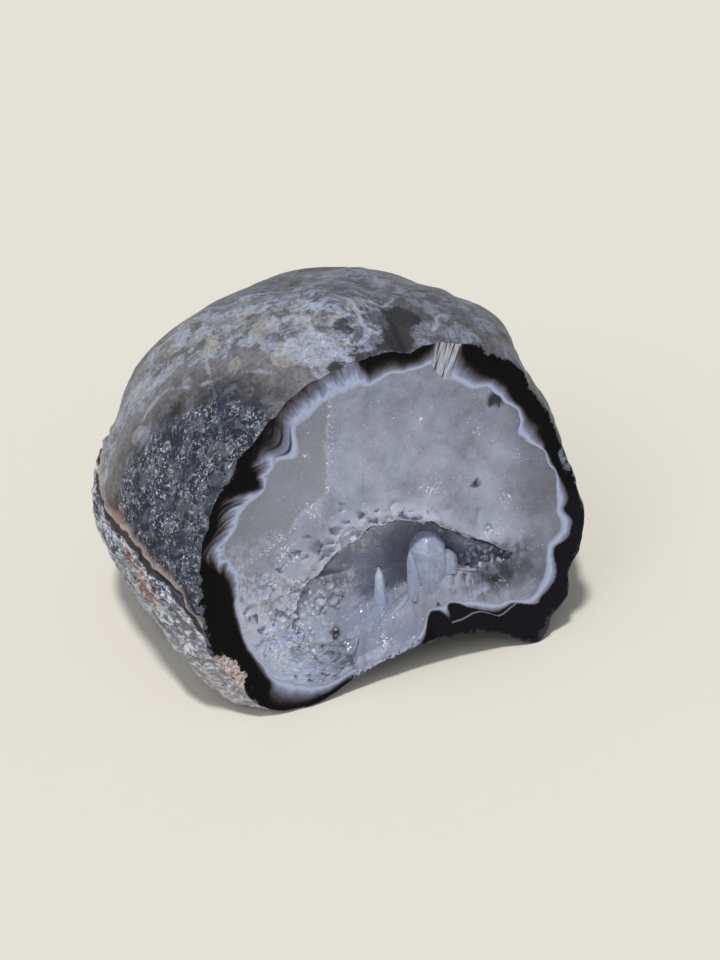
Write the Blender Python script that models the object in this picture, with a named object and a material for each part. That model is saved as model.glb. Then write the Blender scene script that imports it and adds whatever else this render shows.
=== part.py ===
"""Half of a small agate geode, sawn across and standing on its broken base.

Two pieces: the agate nodule with its dark sawn rim, and the quartz that lines it, whose
crystals grow from one crust. All sizes are in millimetres in the frame of the sawn face:
u runs to the right along the face, v up the face and w straight back into the stone.
"""

import math

import bmesh
import bpy
import numpy as np

MM = 0.001

# Sawn face
FACE_LEAN_DEG = 12.0
RIM_CENTRE = np.array([0.0, 20.0])
# Angle about the rim centre, radius of the outer edge, radius where the quartz starts
RIM_STATIONS = np.array([
    (0.0, 25.4, 22.5), (5.0, 25.2, 22.7), (10.0, 24.6, 22.0), (15.0, 24.3, 22.0),
    (20.0, 24.35, 20.6), (26.0, 24.6, 19.5), (32.0, 24.5, 21.2), (38.0, 25.0, 21.0),
    (43.0, 25.35, 20.9), (48.0, 25.4, 21.2), (53.0, 24.9, 19.9), (58.0, 25.0, 19.8),
    (63.0, 24.6, 19.8), (68.0, 24.3, 20.3), (73.0, 23.8, 21.1), (78.0, 23.35, 20.4),
    (82.0, 22.6, 20.3), (87.0, 23.3, 20.2), (93.0, 23.2, 19.6), (99.0, 23.1, 19.6),
    (105.0, 23.2, 19.8), (110.0, 23.3, 20.2), (116.0, 23.4, 20.2), (122.0, 23.4, 19.8),
    (127.0, 23.4, 19.6), (132.0, 23.3, 17.4), (137.0, 23.4, 18.5), (142.0, 24.0, 19.4),
    (147.0, 24.2, 19.3), (152.0, 24.4, 19.1), (158.0, 24.8, 20.7), (164.0, 25.1, 21.3),
    (170.0, 25.55, 22.4), (175.0, 25.7, 21.7), (180.0, 26.0, 20.9), (186.0, 26.4, 21.4),
    (192.0, 26.9, 22.1), (198.0, 27.3, 22.5), (204.0, 26.9, 22.9), (210.0, 27.2, 22.9),
    (216.0, 27.2, 23.1), (221.5, 27.1, 23.1), (227.0, 26.4, 22.3), (232.0, 25.3, 21.8),
    (237.0, 23.7, 21.1), (242.0, 21.5, 19.6), (247.0, 19.3, 18.0), (253.0, 18.0, 17.1),
    (260.0, 16.9, 16.1), (267.0, 16.3, 15.5), (274.0, 16.0, 15.2), (279.0, 16.2, 14.6),
    (284.0, 16.5, 12.9), (289.0, 16.9, 12.0), (294.0, 17.5, 12.6), (299.0, 18.7, 12.6),
    (304.0, 20.4, 13.6),
    (308.0, 22.4, 14.7), (310.5, 25.6, 15.8), (313.0, 27.2, 17.6), (317.0, 27.4, 19.1),
    (321.0, 26.7, 21.8), (326.0, 27.3, 22.6), (333.0, 26.4, 22.6), (340.0, 26.5, 21.9),
    (347.0, 26.65, 23.2), (354.0, 26.2, 22.5),
])

# Nodule behind the face, a rounded lump that spreads out from the rim
BODY_CENTRE = np.array([0.6, 20.6, 18.5])
BODY_LEFT = 31.0
BODY_RIGHT = 29.6
BODY_UP = 27.3
BODY_BACK = 32.0
RIM_BLEND = 0.4
LUMP_BLEND = 0.12
# Direction from the body centre, spread in degrees, height
LUMPS = (
    ((0.62, 0.78, -0.09), 16.0, -0.7),
    ((0.73, 0.65, -0.22), 16.0, 1.7),
    ((0.83, 0.47, -0.29), 16.0, -1.6),
    ((0.88, 0.10, -0.46), 16.0, -1.8),
    ((0.21, 0.94, 0.28), 16.0, 0.7),
    ((-0.86, 0.30, 0.42), 16.0, -0.5),
    ((-0.93, 0.10, 0.35), 16.0, 0.5),
    ((-0.95, -0.32, -0.04), 16.0, -0.6),
    ((-0.85, -0.50, -0.20), 16.0, -2.2),
    ((0.20, 0.98, 0.05), 6.0, 0.7),
    ((-0.79, -0.45, -0.42), 9.0, 0.9),
    ((0.30, 0.30, 0.90), 20.0, -1.4),
    ((-0.45, 0.35, 0.82), 14.0, 0.9),
    ((0.75, -0.20, 0.63), 15.0, 0.9),
)

# Outer skin that still covers the lower left, with a broken edge
SKIN_HEIGHT = 0.8
SKIN_STEP = 0.035
SKIN_EDGE_W = (-0.56, -0.49, -0.34, -0.20, -0.04, 0.21, 0.38, 0.70, 1.0)
SKIN_EDGE_V = (-0.16, -0.06, 0.01, 0.09, 0.13, 0.18, 0.29, 0.22, 0.30)
SKIN_END_U = -0.05
SKIN_FADE_U = 0.3

# Weathered relief of the outside, sums of waves in seeded directions
RELIEF_SEED = 7
RELIEF_WAVES = 9
RELIEF_HEIGHT = 0.22
RELIEF_TURNS = (5.0, 13.0)

# Broken underside: flat, with a scoop that shows as an arch under the face
ARCH_U = (-22.0, -13.0, -11.0, -9.0, -7.0, -4.5, -1.9, 1.1, 3.3, 6.7, 10.2, 13.7, 15.5, 16.5, 30.0)
ARCH_V = (0.0, 0.0, 0.7, 1.5, 2.2, 3.0, 3.75, 4.4, 4.3, 3.95, 3.45, 2.35, 1.4, 0.0, 0.0)
SCOOP_DEPTH = 30.0
FLOOR_ROUNDING = 1.2
# Points this near to the ground lie on it
FLAT_WITHIN = 0.001
OUTER_RINGS = (0.025, 0.06, 0.11, 0.17, 0.24, 0.31, 0.38, 0.45, 0.52, 0.59, 0.66, 0.73, 0.80, 0.87, 0.94)

# Hollow, drawn as it is seen from the upper left: a point at depth w appears shifted on the
# face by SIGHT times w, so these outlines stay where the eye sees them
SIGHT = np.array([0.415, -0.415])
HOLLOW_MIDDLE = np.array([3.0, 15.6])
HOLLOW_DEPTH = 8.5
# Outline of the hollow, with how sheer the wall is there, from 0 for a slope to 1 for a lip
HOLLOW_EDGE = np.array([
    (-12.0, 16.65, 0.6), (-10.65, 17.0, 1.0), (-8.9, 19.0, 1.0), (-6.2, 20.1, 1.0),
    (-3.15, 21.35, 1.0), (0.7, 21.5, 1.0), (4.35, 20.5, 1.0), (7.2, 18.4, 1.0),
    (11.1, 16.1, 0.8), (12.8, 15.1, 0.5), (15.8, 13.2, 0.2), (14.6, 11.8, 0.0),
    (11.5, 11.6, 0.0), (8.5, 12.4, 0.0), (6.2, 12.7, 0.0), (3.6, 12.5, 0.0),
    (1.2, 10.6, 0.0), (-0.8, 9.0, 0.0), (-4.0, 7.6, 0.0), (-9.0, 7.0, 0.0),
    (-13.0, 8.0, 0.0), (-15.0, 11.0, 0.1), (-14.0, 14.5, 0.3),
])
SHEER_WALL = 5.0
SLOPE_START = 0.5
HOLLOW_RINGS = (0.04, 0.22, 0.42, 0.62, 0.82)
FACE_RING = 0.36
# Broken quartz at the lower left, a little behind the sawn face
RECESS_DEPTH = 0.9
RECESS_TOP = 18.5
RECESS_RIGHT = 1.5
RECESS_FADE = 5.0

# The quartz is one layer over the stone, with a hair of room behind it
QUARTZ_THICKNESS = 1.5
JOINT_GAP = 0.6
RIM_GAP = 0.35
WALL_WIDENING = 1.05

# Large crystals: where the base and the tip are seen on the face, depth of the tip, radius
LARGE_CRYSTALS = (
    ((-2.8, 11.3), (-2.82, 15.8), 2.6, 0.85),
    ((3.9, 12.7), (3.9, 18.9), 2.2, 2.5),
    ((6.8, 12.8), (7.2, 16.3), 2.0, 1.8),
    ((-5.7, 12.6), (-5.9, 17.6), 4.2, 2.0),
    ((-9.2, 12.8), (-9.6, 17.0), 3.2, 1.8),
    ((-7.4, 10.4), (-7.9, 13.9), 1.8, 1.7),
    ((-3.9, 8.8), (-3.6, 12.2), 1.4, 1.7),
    ((0.4, 12.0), (-0.2, 16.2), 3.6, 1.6),
    ((9.0, 12.0), (8.4, 15.2), 1.8, 1.2),
    ((10.8, 11.4), (10.2, 14.0), 1.2, 1.2),
    ((12.6, 11.4), (12.0, 13.4), 0.9, 1.2),
    ((14.4, 11.4), (13.7, 13.0), 0.7, 1.2),
)
# Druse between them
DRUSE_SEED = 11
DRUSE_TRIES = 900
DRUSE_RADIUS = (0.95, 1.6)
DRUSE_LENGTH = (1.5, 2.1)
DRUSE_SPACING = 0.72
DRUSE_TILT = 0.35
DRUSE_AREA = ((-20.0, 15.0), (4.5, 19.5))
CRYSTAL_ROOT = 0.5
CRYSTAL_SHOULDER = 0.6
CRYSTAL_TAPER = 0.82
# No crystal passes the sawn face
FACE_CLEARANCE = 0.12

# Shift that puts the middle of the finished stone over the origin
SHIFT = np.array([0.415, -26.947, 0.0])

AGATE_COLOUR = (0.045, 0.045, 0.055, 1.0)
QUARTZ_COLOUR = (0.46, 0.48, 0.56, 1.0)


def clear_scene():
    """Empty the scene."""
    for item in list(bpy.data.objects):
        bpy.data.objects.remove(item, do_unlink=True)


def smooth(t):
    """Ease from 0 to 1."""
    t = np.clip(t, 0.0, 1.0)
    return t * t * (3.0 - 2.0 * t)


def to_world(points):
    """Turn face coordinates in millimetres into world coordinates in metres."""
    lean = math.radians(FACE_LEAN_DEG)
    x = points[:, 0]
    y = points[:, 1] * math.sin(lean) + points[:, 2] * math.cos(lean)
    z = points[:, 1] * math.cos(lean) - points[:, 2] * math.sin(lean)
    flat = np.where(np.abs(z) < FLAT_WITHIN, 0.0, z)
    return (np.stack([x, y, flat], axis=1) + SHIFT) * MM


def height_of(points):
    """Height of face coordinates above the ground."""
    lean = math.radians(FACE_LEAN_DEG)
    return points[:, 1] * math.cos(lean) - points[:, 2] * math.sin(lean)


def floor_height(points):
    """Height of the broken underside: the arch at the face fades out towards the back."""
    lean = math.radians(FACE_LEAN_DEG)
    back = points[:, 1] * math.sin(lean) + points[:, 2] * math.cos(lean)
    arch = np.interp(points[:, 0], ARCH_U, ARCH_V) * math.cos(lean)
    return arch * smooth(1.0 - back / SCOOP_DEPTH)


def relief(directions):
    """Low waves over the outside, the same for every run."""
    source = np.random.default_rng(RELIEF_SEED)
    total = np.zeros(len(directions))
    for _ in range(RELIEF_WAVES):
        axis = source.normal(size=3)
        axis = axis / np.linalg.norm(axis)
        turns = source.uniform(*RELIEF_TURNS)
        phase = source.uniform(0.0, 2.0 * math.pi)
        total = total + np.sin(directions @ axis * turns + phase)
    return RELIEF_HEIGHT * total


def skin_cover(directions):
    """How much of the outer skin is left, from 0 to 1, in each direction from the body centre."""
    edge = np.interp(directions[:, 2], SKIN_EDGE_W, SKIN_EDGE_V)
    below = smooth(0.5 + (edge - directions[:, 1]) / (2.0 * SKIN_STEP))
    return below * smooth((SKIN_END_U - directions[:, 0]) / SKIN_FADE_U)


def lump_height(directions):
    """Sum of the lumps and dents in each direction from the body centre."""
    total = np.zeros(len(directions))
    for towards, spread, height in LUMPS:
        axis = np.array(towards) / np.linalg.norm(towards)
        angle = np.degrees(np.arccos(np.clip(directions @ axis, -1.0, 1.0)))
        total = total + height * np.exp(-((angle / spread) ** 2))
    return total


def body_radius(directions):
    """Radius of the plain lump, wider on the left than on the right."""
    side = np.where(directions[:, 0] > 0.0, BODY_RIGHT, BODY_LEFT)
    scaled = np.stack([directions[:, 0] / side, directions[:, 1] / BODY_UP, directions[:, 2] / BODY_BACK])
    return 1.0 / np.sqrt((scaled ** 2).sum(axis=0))


def rim_points(radii):
    """Points on the face at these radii, one for each rim station."""
    angle = np.radians(RIM_STATIONS[:, 0])
    return np.stack(
        [RIM_CENTRE[0] + radii * np.cos(angle), RIM_CENTRE[1] + radii * np.sin(angle), 0.0 * angle], axis=1
    )


def outer_ring(part):
    """Ring of the outside: part is 0 at the rim and 1 at the point farthest back."""
    rim = rim_points(RIM_STATIONS[:, 1]) - BODY_CENTRE
    rim_radius = np.linalg.norm(rim, axis=1)
    start = rim / rim_radius[:, None]
    end = np.array([0.0, 0.0, 1.0])
    angle = np.arccos(np.clip(start @ end, -1.0, 1.0))
    towards = (
        np.sin((1.0 - part) * angle)[:, None] * start + np.sin(part * angle)[:, None] * end
    ) / np.sin(angle)[:, None]
    radius = body_radius(towards) + (rim_radius - body_radius(start)) * (1.0 - smooth(part / RIM_BLEND))
    surface = lump_height(towards) + relief(towards) + SKIN_HEIGHT * skin_cover(towards)
    radius = radius + surface * smooth(part / LUMP_BLEND)
    return stand_on_floor(towards, radius)


def stand_on_floor(towards, radius):
    """Points in these directions, drawn in to the broken underside where they would pass it."""
    lean = math.radians(FACE_LEAN_DEG)
    fall = -(towards[:, 1] * math.cos(lean) - towards[:, 2] * math.sin(lean))
    free = BODY_CENTRE + radius[:, None] * towards
    free_height = height_of(free)
    points = free
    for _ in range(12):
        floor = floor_height(points)
        near = np.clip(FLOOR_ROUNDING - np.abs(free_height - floor), 0.0, None)
        target = np.maximum(free_height, floor) + near ** 2 / (4.0 * FLOOR_ROUNDING)
        drawn_in = radius + (free_height - target) / np.maximum(fall, 0.05)
        points = BODY_CENTRE + np.where(target > free_height, drawn_in, radius)[:, None] * towards
    lift = np.where(target > free_height, target - height_of(points), 0.0)
    return points + lift[:, None] * np.array([0.0, math.cos(lean), -math.sin(lean)])


def hollow_edge_towards(points):
    """Where a line from the middle of the hollow to each point crosses the hollow's outline."""
    count = len(HOLLOW_EDGE)
    crossings = np.zeros((len(points), 3))
    for row, point in enumerate(points[:, :2]):
        way = point - HOLLOW_MIDDLE
        for first in range(count):
            start = HOLLOW_EDGE[first]
            step = HOLLOW_EDGE[(first + 1) % count] - start
            turn = way[0] * step[1] - way[1] * step[0]
            gap = start[:2] - HOLLOW_MIDDLE
            along_way = (gap[0] * step[1] - gap[1] * step[0]) / turn
            along_step = (gap[0] * way[1] - gap[1] * way[0]) / turn
            if along_way > 0.0 and 0.0 <= along_step < 1.0:
                crossings[row] = start + along_step * step
    return crossings


def depth_at(part, sheer):
    """Depth of the hollow at a part of the way from its outline to its middle."""
    slope = SLOPE_START + (HOLLOW_DEPTH - SLOPE_START) * np.clip(part, 0.0, 1.0) ** 1.25
    wall = SHEER_WALL + (HOLLOW_DEPTH - SHEER_WALL) * smooth(part)
    return slope * (1.0 - sheer) + wall * sheer


def recess(seen):
    """How far the unsawn quartz at the lower left lies behind the sawn face."""
    low = smooth((RECESS_TOP - seen[:, 1]) / RECESS_FADE)
    left = smooth((RECESS_RIGHT - seen[:, 0]) / RECESS_FADE)
    return RECESS_DEPTH * low * left


def sight_shift(seen, depth):
    """Face coordinates of points seen at these places and lying this deep."""
    across = seen + depth[:, None] * SIGHT
    return np.stack([across[:, 0], across[:, 1], depth], axis=1)


def face_ring(start, edge, part, behind):
    """Ring of the quartz face between the rim and the hollow, or of the layer behind it."""
    seen = start[:, :2] * (1.0 - part) + edge[:, :2] * part
    lip = SLOPE_START * (1.0 - edge[:, 2]) * part ** 3
    flat = sight_shift(seen, recess(seen) * min(part / FACE_RING, 1.0) + lip)
    return flat + behind * np.array([0.0, 0.0, 1.0])


def layer_shift(edge, part, behind):
    """Shift of the layer behind: deeper, and away from the middle of the hollow."""
    outward = edge[:, :2] - HOLLOW_MIDDLE
    outward = outward / np.linalg.norm(outward, axis=1)[:, None]
    shift = outward * WALL_WIDENING * behind * (1.0 - part ** 5)
    return np.stack([shift[:, 0], shift[:, 1], np.full(len(edge), behind)], axis=1)


def hollow_ring(edge, part, behind):
    """Ring of the hollow, or of the layer behind it, which stands wider and deeper."""
    seen = edge[:, :2] * (1.0 - part) + HOLLOW_MIDDLE * part
    depth = depth_at(part, edge[:, 2]) + recess(edge[:, :2]) * (1.0 - part)
    return sight_shift(seen, depth) + layer_shift(edge, part, behind)


def lip_ring(start, edge, behind):
    """Ring where the layer behind the face turns down into the hollow."""
    return face_ring(start, edge, 1.0, 0.0) + layer_shift(edge, 0.0, behind)


def hollow_end(behind):
    """Deepest point of the hollow, or of the layer behind it."""
    return sight_shift(HOLLOW_MIDDLE[None, :], np.array([HOLLOW_DEPTH])) + np.array([0.0, 0.0, behind])


def depth_seen_at(seen):
    """Depth of the quartz surface seen at these places."""
    edge = hollow_edge_towards(seen)
    reach = np.linalg.norm(edge[:, :2] - HOLLOW_MIDDLE, axis=1)
    part = 1.0 - np.linalg.norm(seen - HOLLOW_MIDDLE, axis=1) / reach
    outside = recess(seen) + SLOPE_START * (1.0 - edge[:, 2]) * 0.5
    inside = depth_at(part, edge[:, 2]) + recess(edge[:, :2]) * (1.0 - part)
    return np.where(part > 0.0, inside, outside)


def surface_at(seen):
    """Point of the quartz surface seen at each place."""
    return sight_shift(seen, depth_seen_at(seen))


def crystal_points(base, tip, radius, turn):
    """Corners of one six-sided crystal: root, base ring, shoulder ring and tip."""
    length = np.linalg.norm(tip - base)
    axis = (tip - base) / length
    across = np.cross(axis, np.array([0.3, 0.2, 1.0]))
    across = across / np.linalg.norm(across)
    other = np.cross(axis, across)
    angle = turn + np.arange(6) * math.pi / 3.0
    ring = np.cos(angle)[:, None] * across + np.sin(angle)[:, None] * other
    foot = base + 0.1 * length * axis + radius * ring
    shoulder = base + CRYSTAL_SHOULDER * length * axis + CRYSTAL_TAPER * radius * ring
    top = tip + 0.12 * radius * ring[0]
    root = base + np.array([0.0, 0.0, CRYSTAL_ROOT])
    points = np.concatenate([root[None, :], foot, shoulder, top[None, :]])
    seen_at = points[:, :2] - points[:, 2:3] * SIGHT
    deepest = depth_seen_at(seen_at) + CRYSTAL_ROOT
    depth = np.clip(points[:, 2], FACE_CLEARANCE + 0.02 * np.arange(len(points)), deepest)
    return sight_shift(seen_at, depth)


def large_crystals():
    """Base, tip and radius of each large crystal."""
    found = []
    for seen_base, seen_tip, tip_depth, radius in LARGE_CRYSTALS:
        base = surface_at(np.array([seen_base]))[0]
        tip = sight_shift(np.array([seen_tip]), np.array([tip_depth]))[0]
        found.append((base, tip, radius))
    return found


def druse_crystals():
    """Smaller crystals scattered over the hollow and the broken quartz at its left."""
    source = np.random.default_rng(DRUSE_SEED)
    taken = [(np.array(row[0]), row[3]) for row in LARGE_CRYSTALS]
    found = []
    for _ in range(DRUSE_TRIES):
        seen = np.array([source.uniform(*DRUSE_AREA[0]), source.uniform(*DRUSE_AREA[1])])
        radius = source.uniform(*DRUSE_RADIUS)
        length = radius * source.uniform(*DRUSE_LENGTH)
        tilt = DRUSE_TILT * source.normal(size=3)
        edge = hollow_edge_towards(seen[None, :])[0]
        inside = np.linalg.norm(seen - HOLLOW_MIDDLE) < np.linalg.norm(edge[:2] - HOLLOW_MIDDLE) - 0.6
        from_rim = np.linalg.norm(seen - RIM_CENTRE)
        left = seen[0] < -8.0 and seen[1] < 17.0 - 0.4 * (seen[0] + 12.0) and from_rim < 19.5
        near = any(np.linalg.norm(seen - place) < DRUSE_SPACING * (radius + other) for place, other in taken)
        if near or not (inside or left):
            continue
        taken.append((seen, radius))
        step = np.array([[0.0, 0.0], [0.4, 0.0], [0.0, 0.4]])
        corner, right, up = surface_at(seen + step)
        outward = -np.cross(right - corner, up - corner)
        outward = outward / np.linalg.norm(outward) + tilt
        found.append((corner, corner + length * outward / np.linalg.norm(outward), radius))
    return found


def closed_mesh(name, first, rings, last):
    """Solid made of rings of equal length between two end points."""
    count = len(rings[0])
    points = np.concatenate([first] + list(rings) + [last])
    faces = []
    for step in range(count):
        after = (step + 1) % count
        faces.append((0, 1 + after, 1 + step))
        for ring in range(len(rings) - 1):
            near = 1 + ring * count
            far = near + count
            faces.append((near + step, near + after, far + after))
            faces.append((near + step, far + after, far + step))
        near = 1 + (len(rings) - 1) * count
        faces.append((len(points) - 1, near + step, near + after))
    mesh = bpy.data.meshes.new(name)
    mesh.from_pydata(to_world(points).tolist(), [], faces)
    item = bpy.data.objects.new(name, mesh)
    bpy.context.scene.collection.objects.link(item)
    face_outward(item)
    return item


def face_outward(item):
    """Turn every face of a closed mesh outward."""
    shape = bmesh.new()
    shape.from_mesh(item.data)
    bmesh.ops.recalc_face_normals(shape, faces=shape.faces)
    if shape.calc_volume(signed=True) < 0.0:
        bmesh.ops.reverse_faces(shape, faces=shape.faces)
    shape.to_mesh(item.data)
    shape.free()


def inset(ring, distance):
    """Ring drawn in by an even distance, measured square to its sides."""
    ahead = np.roll(ring, -1, axis=0) - ring
    ahead = ahead / np.linalg.norm(ahead, axis=1)[:, None]
    behind = np.roll(ahead, 1, axis=0)
    inward_ahead = np.stack([-ahead[:, 1], ahead[:, 0]], axis=1)
    inward_behind = np.stack([-behind[:, 1], behind[:, 0]], axis=1)
    middle = inward_ahead + inward_behind
    middle = middle / np.linalg.norm(middle, axis=1)[:, None]
    reach = distance / np.clip((middle * inward_ahead).sum(axis=1), 0.6, 1.0)
    shift = middle * reach[:, None]
    return ring + np.stack([shift[:, 0], shift[:, 1], 0.0 * reach], axis=1)


def stone_edges():
    """Start of the quartz at each rim station, and the hollow's outline in line with it."""
    start = rim_points(RIM_STATIONS[:, 2])
    return start, hollow_edge_towards(start)


def build_agate():
    """Nodule: outside, sawn rim, shelf under the quartz and the hollow's stone wall."""
    start, edge = stone_edges()
    behind = QUARTZ_THICKNESS + JOINT_GAP
    rings = [outer_ring(part) for part in reversed(OUTER_RINGS)]
    rings.append(rim_points(RIM_STATIONS[:, 1]))
    rings.append(start)
    rings.append(start + np.array([0.0, 0.0, behind]))
    rings.append(face_ring(start, edge, FACE_RING, behind))
    rings.append(lip_ring(start, edge, behind))
    rings.extend(hollow_ring(edge, part, behind) for part in HOLLOW_RINGS)
    back = outer_ring(0.999).mean(axis=0)[None, :]
    return closed_mesh("agate_shell", back, rings, hollow_end(behind))


def build_quartz():
    """Quartz layer: face, lip and hollow in front, the same surfaces a little deeper behind."""
    start, edge = stone_edges()
    border = inset(start, RIM_GAP)
    behind = QUARTZ_THICKNESS
    front = [hollow_ring(edge, part, 0.0) for part in reversed(HOLLOW_RINGS)]
    front.append(face_ring(start, edge, 1.0, 0.0))
    front.append(face_ring(start, edge, FACE_RING, 0.0))
    back = [border, border + np.array([0.0, 0.0, behind])]
    back.append(face_ring(start, edge, FACE_RING, behind))
    back.append(lip_ring(start, edge, behind))
    back.extend(hollow_ring(edge, part, behind) for part in HOLLOW_RINGS)
    layer = closed_mesh("quartz_crust", hollow_end(0.0), front + back, hollow_end(behind))
    crystals = large_crystals()
    crystals.extend(druse_crystals())
    fuse(layer, [build_crystal(number, *crystal) for number, crystal in enumerate(crystals)])
    return layer


def build_crystal(number, base, tip, radius):
    """One crystal as a closed mesh of its own, flat-faced all round."""
    points = to_world(crystal_points(base, tip, radius, 0.7 * number))
    shape = bmesh.new()
    for point in points:
        shape.verts.new(point)
    hull = bmesh.ops.convex_hull(shape, input=shape.verts)
    inside = [part for part in hull["geom_interior"] if isinstance(part, bmesh.types.BMVert)]
    bmesh.ops.delete(shape, geom=inside, context="VERTS")
    bmesh.ops.recalc_face_normals(shape, faces=shape.faces)
    mesh = bpy.data.meshes.new("crystal_%02d" % number)
    shape.to_mesh(mesh)
    shape.free()
    item = bpy.data.objects.new(mesh.name, mesh)
    bpy.context.scene.collection.objects.link(item)
    return item


def fuse(item, others):
    """Join closed meshes into one solid and remove the loose copies."""
    group = bpy.data.collections.new("crystals")
    for other in others:
        group.objects.link(other)
    join = item.modifiers.new("crystals", "BOOLEAN")
    join.operation = "UNION"
    join.operand_type = "COLLECTION"
    join.collection = group
    join.solver = "EXACT"
    evaluated = item.evaluated_get(bpy.context.evaluated_depsgraph_get())
    fused = bpy.data.meshes.new_from_object(evaluated)
    item.modifiers.remove(join)
    item.data = fused
    fused.name = item.name
    for other in others:
        bpy.data.objects.remove(other, do_unlink=True)
    bpy.data.collections.remove(group)
    keep_outside(item)


def keep_outside(item):
    """Keep the one closed surface that holds the most corners, so no pocket is left sealed inside."""
    shape = bmesh.new()
    shape.from_mesh(item.data)
    left = set(shape.verts)
    groups = []
    while left:
        found = {left.pop()}
        fresh = set(found)
        while fresh:
            fresh = {edge.other_vert(corner) for corner in fresh for edge in corner.link_edges} - found
            found |= fresh
        left -= found
        groups.append(found)
    outside = max(groups, key=len)
    loose = [corner for corner in shape.verts if corner not in outside]
    bmesh.ops.delete(shape, geom=loose, context="VERTS")
    bmesh.ops.triangulate(shape, faces=shape.faces)
    shape.to_mesh(item.data)
    shape.free()


def paint(item, colour, roughness):
    """Give a piece its own plain material."""
    material = bpy.data.materials.new(item.name)
    material.use_nodes = True
    surface = material.node_tree.nodes["Principled BSDF"]
    surface.inputs["Base Color"].default_value = colour
    surface.inputs["Roughness"].default_value = roughness
    item.data.materials.clear()
    item.data.materials.append(material)


def main():
    """Build both pieces."""
    clear_scene()
    paint(build_agate(), AGATE_COLOUR, 0.45)
    paint(build_quartz(), QUARTZ_COLOUR, 0.25)


main()
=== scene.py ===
"""Half of a small agate geode on a pale floor, dressed for the camera.

The stone is one agate nodule: a weathered outside, a flat sawn rim that is almost black with pale bands,
and a broken base that it stands on. Quartz lines the inside. It is sawn flat above, opens into a hollow
below, and crystals stand in the hollow and on the broken quartz at its left.

Lengths are millimetres in the frame of the sawn face: u runs to the right along the face, v up the face
and w straight back into the stone. SawnFace turns them into world coordinates in metres.
"""

from __future__ import annotations

import logging
import math
from dataclasses import dataclass, field
from enum import Enum
from typing import Any, Callable, Sequence

import bpy
import numpy as np
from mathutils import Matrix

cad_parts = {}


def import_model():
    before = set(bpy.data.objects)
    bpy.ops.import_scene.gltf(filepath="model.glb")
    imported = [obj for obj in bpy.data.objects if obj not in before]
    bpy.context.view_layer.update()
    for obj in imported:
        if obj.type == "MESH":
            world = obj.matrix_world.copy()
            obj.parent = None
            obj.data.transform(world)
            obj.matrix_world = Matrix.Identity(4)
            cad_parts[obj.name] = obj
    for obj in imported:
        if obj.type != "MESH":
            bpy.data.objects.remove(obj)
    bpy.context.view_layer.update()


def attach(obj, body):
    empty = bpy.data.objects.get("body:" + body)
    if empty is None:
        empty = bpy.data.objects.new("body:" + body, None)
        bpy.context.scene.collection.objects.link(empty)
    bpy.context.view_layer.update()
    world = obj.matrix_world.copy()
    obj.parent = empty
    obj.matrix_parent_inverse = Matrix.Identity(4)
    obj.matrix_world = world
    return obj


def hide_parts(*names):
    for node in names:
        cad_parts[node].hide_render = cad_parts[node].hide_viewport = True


Array = np.ndarray
Triple = tuple[float, float, float]
Colour = Triple
Table = tuple[tuple[float, ...], ...]
MM = 0.001
log = logging.getLogger("geode")


def ease(part: Array) -> Array:
    """Ease from 0 to 1: three times the square less twice the cube, held at both ends.

    Args:
        part: Values, of which 0 to 1 is the range that eases.

    Returns:
        Values from 0 to 1.
    """
    held = np.clip(part, 0.0, 1.0)
    return held * held * (3.0 - 2.0 * held)


def bell(distance: Array, width: Array | float) -> Array:
    """Bell curve: e to the power of minus the square of distance over width."""
    return np.exp(-((distance / width) ** 2))


def lattice_noise(points: Array, wavelength: float, seed: int) -> Array:
    """Smooth noise: random values on the corners of a cubic lattice, eased between the corners.

    Args:
        points: Places, one row of two or three for each.
        wavelength: Side of a lattice cube, in the unit of the places.
        seed: Seed of the random values.

    Returns:
        One value from -1 to 1 for each place.
    """
    source = np.random.default_rng(seed)
    shuffle = source.permutation(256)
    value = source.uniform(-1.0, 1.0, 256)
    place = np.pad(points, ((0, 0), (0, 3 - points.shape[1]))) / wavelength
    corner = np.floor(place).astype(int)
    part = ease(place - corner)
    total = np.zeros(len(points))
    for step in np.ndindex(2, 2, 2):
        near = (corner + step) & 255
        picked = shuffle[(shuffle[(shuffle[near[:, 0]] + near[:, 1]) & 255] + near[:, 2]) & 255]
        weight = np.where(np.array(step) == 1, part, 1.0 - part).prod(axis=1)
        total += weight * value[picked]
    return total


def layered_noise(points: Array, wavelength: float, layers: int, seed: int) -> Array:
    """Sum of lattice noises, each with half the wavelength and half the height of the one before.

    Args:
        points: Places, one row of two or three for each.
        wavelength: Wavelength of the first layer.
        layers: How many layers are added up.
        seed: Seed of the first layer.

    Returns:
        One value for each place, mostly from -1 to 1.
    """
    total = np.zeros(len(points))
    for layer in range(layers):
        total += 0.5**layer * lattice_noise(points, wavelength * 0.5**layer, seed + layer)
    return total


def pushed_about(places: Array, height: float, wavelength: float, layers: int, seeds: Sequence[int]) -> Array:
    """Places moved by layered noise of a height, with one seed for each coordinate."""
    moves = [layered_noise(places, wavelength, layers, seed) for seed in seeds]
    return places + height * np.stack(moves, axis=1)


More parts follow.
